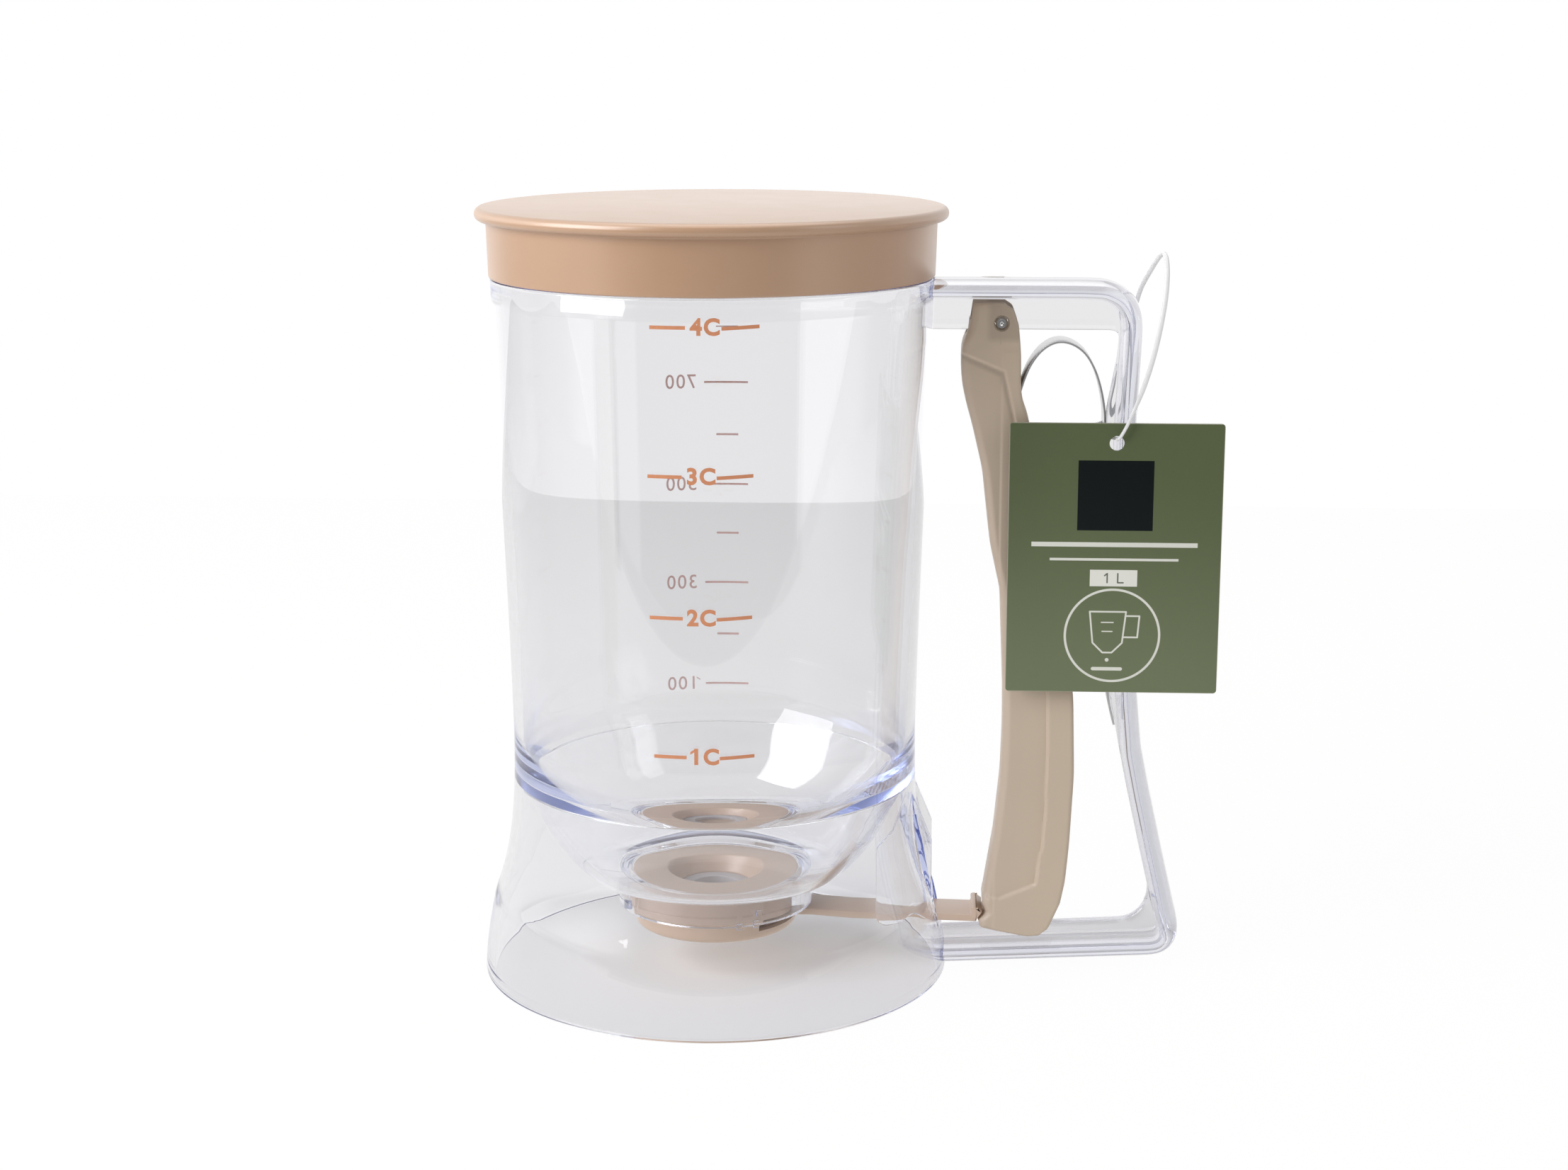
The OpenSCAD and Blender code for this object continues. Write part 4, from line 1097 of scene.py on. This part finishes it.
# The table top's corners: a straight front that turns back at both sides
TABLE = ((-1.08, 0.62), (-1.08, -0.14), (-0.97, -0.29), (-0.78, -0.33), (0.36, -0.325), (0.62, -0.28),
         (1.08, -0.155), (1.08, 0.62))
SIDE_EDGE = 1.17
LEFT_GLOSS, ZENITH_GLOSS = 2.6, 2.4


def camera():
    """A camera a little above the level that sees the handle at the right."""
    lens = bpy.data.cameras.new("view")
    lens.lens = CAMERA_LENS
    lens.sensor_width = 36.0
    lens.clip_start = 0.02
    eye = bpy.data.objects.new("view", lens)
    eye.location = CAMERA_AT
    eye.rotation_euler = [math.radians(angle) for angle in CAMERA_TURN]
    bpy.context.scene.collection.objects.link(eye)
    bpy.context.scene.camera = eye


def table():
    """A pale table top: white to the eye, with the shadows that its matt share takes.  In gloss it
    is brighter at the left and fades towards its sides; through the plastic it is a light grey."""
    points = rounded(TABLE, 0.06)
    points = np.concatenate([points, 0 * points[:, :1]], 1)
    mesh = bpy.data.meshes.new("table")
    mesh.from_pydata(points.tolist(), [], [list(range(len(points)))])
    top = bpy.data.objects.new("table", mesh)
    bpy.context.scene.collection.objects.link(top)
    finish = Finish("table_top", (0.90, 0.895, 0.89), 0.7)
    x, _, _ = finish.place()
    path = finish.node("ShaderNodeLightPath").node.outputs
    seen, gloss, through, spread = [
        Field(finish, path[f"Is {kind} Ray"]) for kind in ("Camera", "Glossy", "Transmission", "Diffuse")]
    fall = (1 - abs(x).rise(330, 900) * 0.62) * (1 - x.rise(0, 500) * 0.35)
    mirror = gloss * (1 - through)
    eye_glow = finish.node("ShaderNodeEmission", None, (1.0, 1.0, 1.0), 1.02)
    gloss_glow = finish.node("ShaderNodeEmission", None, (1.0, 0.985, 0.975), fall)
    grey_glow = finish.node("ShaderNodeEmission", None, (1.0, 0.985, 0.975), 1.0 - spread * 0.1)
    glow_share = through * 0.22 + spread * 0.5
    mixed = finish.node("ShaderNodeMixShader", None, glow_share, finish.shader.outputs[0], grey_glow)
    mixed = finish.node("ShaderNodeMixShader", None, mirror * 0.85, mixed, gloss_glow)
    mixed = finish.node("ShaderNodeMixShader", None, seen * 0.93, mixed, eye_glow)
    finish.put(finish.output.inputs["Surface"], mixed)
    mesh.materials.append(finish.material)


class Sky(Finish):
    """The world's node tree, worked like a material's."""

    def __init__(self, world):
        world.use_nodes = True
        self.tree = world.node_tree
        self.tree.nodes.clear()
        self.output = self.tree.nodes.new("ShaderNodeOutputWorld")

    def light(self, colour, strength):
        return self.node("ShaderNodeBackground", None, colour, strength)

    def mix(self, factor, low, high):
        return self.node("ShaderNodeMixShader", None, factor, low, high)


def surroundings():
    """The world: white to the eye, soft light from all round, and for gloss and glass a studio that
    is bright behind and overhead, dim in front, with a big panel at the left over the table's level
    and paler walls at both sides below it.  The walls start where |x| = SIDE_EDGE |y|."""
    world = bpy.data.worlds.new("studio")
    bpy.context.scene.world = world
    sky = Sky(world)
    path = sky.node("ShaderNodeLightPath").node.outputs
    way = sky.node("ShaderNodeTexCoord", out="Generated")
    x, y, z = [Field(sky, part) for part in sky.node("ShaderNodeSeparateXYZ", None, way).node.outputs]
    behind = y.rise(-0.10, 0.20)
    edge = z.rise(0.40, 0.90) * 0.42 + abs(x).rise(0.55, 0.98) * 0.30
    above = z.rise(0.15, 0.7)
    zenith = z.rise(0.70, 0.95)
    low = z.inside(-0.02, 0.04)
    wall = (abs(x) + y * SIDE_EDGE).rise(0, 0.015) * low * 1.1
    left_box = (0.0 - x).rise(0.50, 0.98) * z.rise(-0.05, 0.2) * z.inside(0.62, 0.5)
    right_box = x.rise(0.5, 1.0) * z.rise(0.0, 0.2) * z.inside(0.5, 0.3)
    front = wall + left_box * LEFT_GLOSS + right_box * 0.5 + above * 0.25 + 0.24
    ahead = 1 - behind
    studio_light = behind * 1.3 + ahead * front + left_box * behind * 1.2 + zenith * ZENITH_GLOSS
    studio = sky.light((1.0, 0.995, 0.99), studio_light)
    glass_light = behind * (1 - edge) + ahead * (front + low * 0.34).least(1.35)
    backdrop = sky.light((0.89, 0.88, 0.875), glass_light)
    soft = sky.light((1.0, 1.0, 1.0), 0.55 - z.rise(0.2, 0.85) * 0.22)
    eye = sky.light((1.0, 1.0, 1.0), 1.0)
    world_light = sky.mix(path["Is Glossy Ray"], soft, studio)
    world_light = sky.mix(path["Is Transmission Ray"], world_light, backdrop)
    world_light = sky.mix(path["Is Camera Ray"], world_light, eye)
    sky.put(sky.output.inputs["Surface"], world_light)


def softbox(name, at, aim, width, height, radiance):
    """A rectangular lamp of the given radiance: its power is pi times the area times that."""
    lamp = bpy.data.lights.new(name, "AREA")
    lamp.shape = "RECTANGLE"
    lamp.size, lamp.size_y = width, height
    lamp.energy = math.pi * width * height * radiance
    holder = bpy.data.objects.new(name, lamp)
    holder.location = at
    holder.rotation_euler = (Vector(aim) - Vector(at)).to_track_quat("-Z", "Y").to_euler()
    bpy.context.scene.collection.objects.link(holder)


def lamps():
    """A panel high at the left and a weaker one high at the right."""
    softbox("left_panel", (-0.86, -0.48, 0.64), (0, 0, 0.10), 0.80, 0.75, 5.6)
    softbox("right_panel", (0.90, -0.45, 0.60), (0, 0, 0.10), 0.5, 0.5, 1.2)


# ---------- assembly ----------
def dress(piece, material, body, slot, *nodes):
    """Gives a piece its material and body, and lets it stand for its CAD nodes.  The slot is not used."""
    piece.data.materials.clear()
    piece.data.materials.append(material)
    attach(piece, body)
    if nodes:
        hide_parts(*nodes)
    return piece


camera()
table()
surroundings()
lamps()

beige = valve_beige()
dress(clear_body(), clear_styrene("body_styrene"), "dispenser", "clear_plastic", "tank_shell", "funnel_bowl")
handle_plastic = clear_styrene("handle_styrene", (0.40, 0.46, 0.80), 15.0)
dress(clear_handle(), handle_plastic, "dispenser", "clear_plastic", "handle_frame")
dress(push_lid(), lid_beige(), "lid", "beige_plastic", "lid")
dress(squeeze_lever(), lever_beige(), "lever", "lever_plastic", "trigger_lever")
dress(steel_pin(), pin_steel(), "dispenser", "steel", "pivot_pin")
dress(gate_slide(), beige, "slide", "beige_plastic", "slide_gate")
dress(seat_ring(), beige, "dispenser", "beige_plastic", "valve_seat")
dress(seal_grommet(), seal_silicone(), "dispenser", "silicone", "valve_seal")
dress(twist_cap(), beige, "cap", "beige_plastic", "base_cap")
dress(card_tag(), tag_card(), "tag", "card", "hang_tag")
dress(nylon_loop(), nylon_filament(), "dispenser", "nylon", "tag_loop")
dress(cup_marks(), scale_ink(), "dispenser", "beige_plastic")
dress(millilitre_marks(), far_ink(), "dispenser", "beige_plastic")

strip = leaf_strip()
strip.data.materials.append(spring_steel())
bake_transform(strip)
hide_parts("leaf_spring")

scene = bpy.context.scene
scene.view_settings.view_transform = "Standard"
scene.cycles.max_bounces = 100
scene.cycles.transmission_bounces = 100
scene.cycles.transparent_max_bounces = 40
scene.cycles.glossy_bounces = 100
scene.cycles.diffuse_bounces = 4
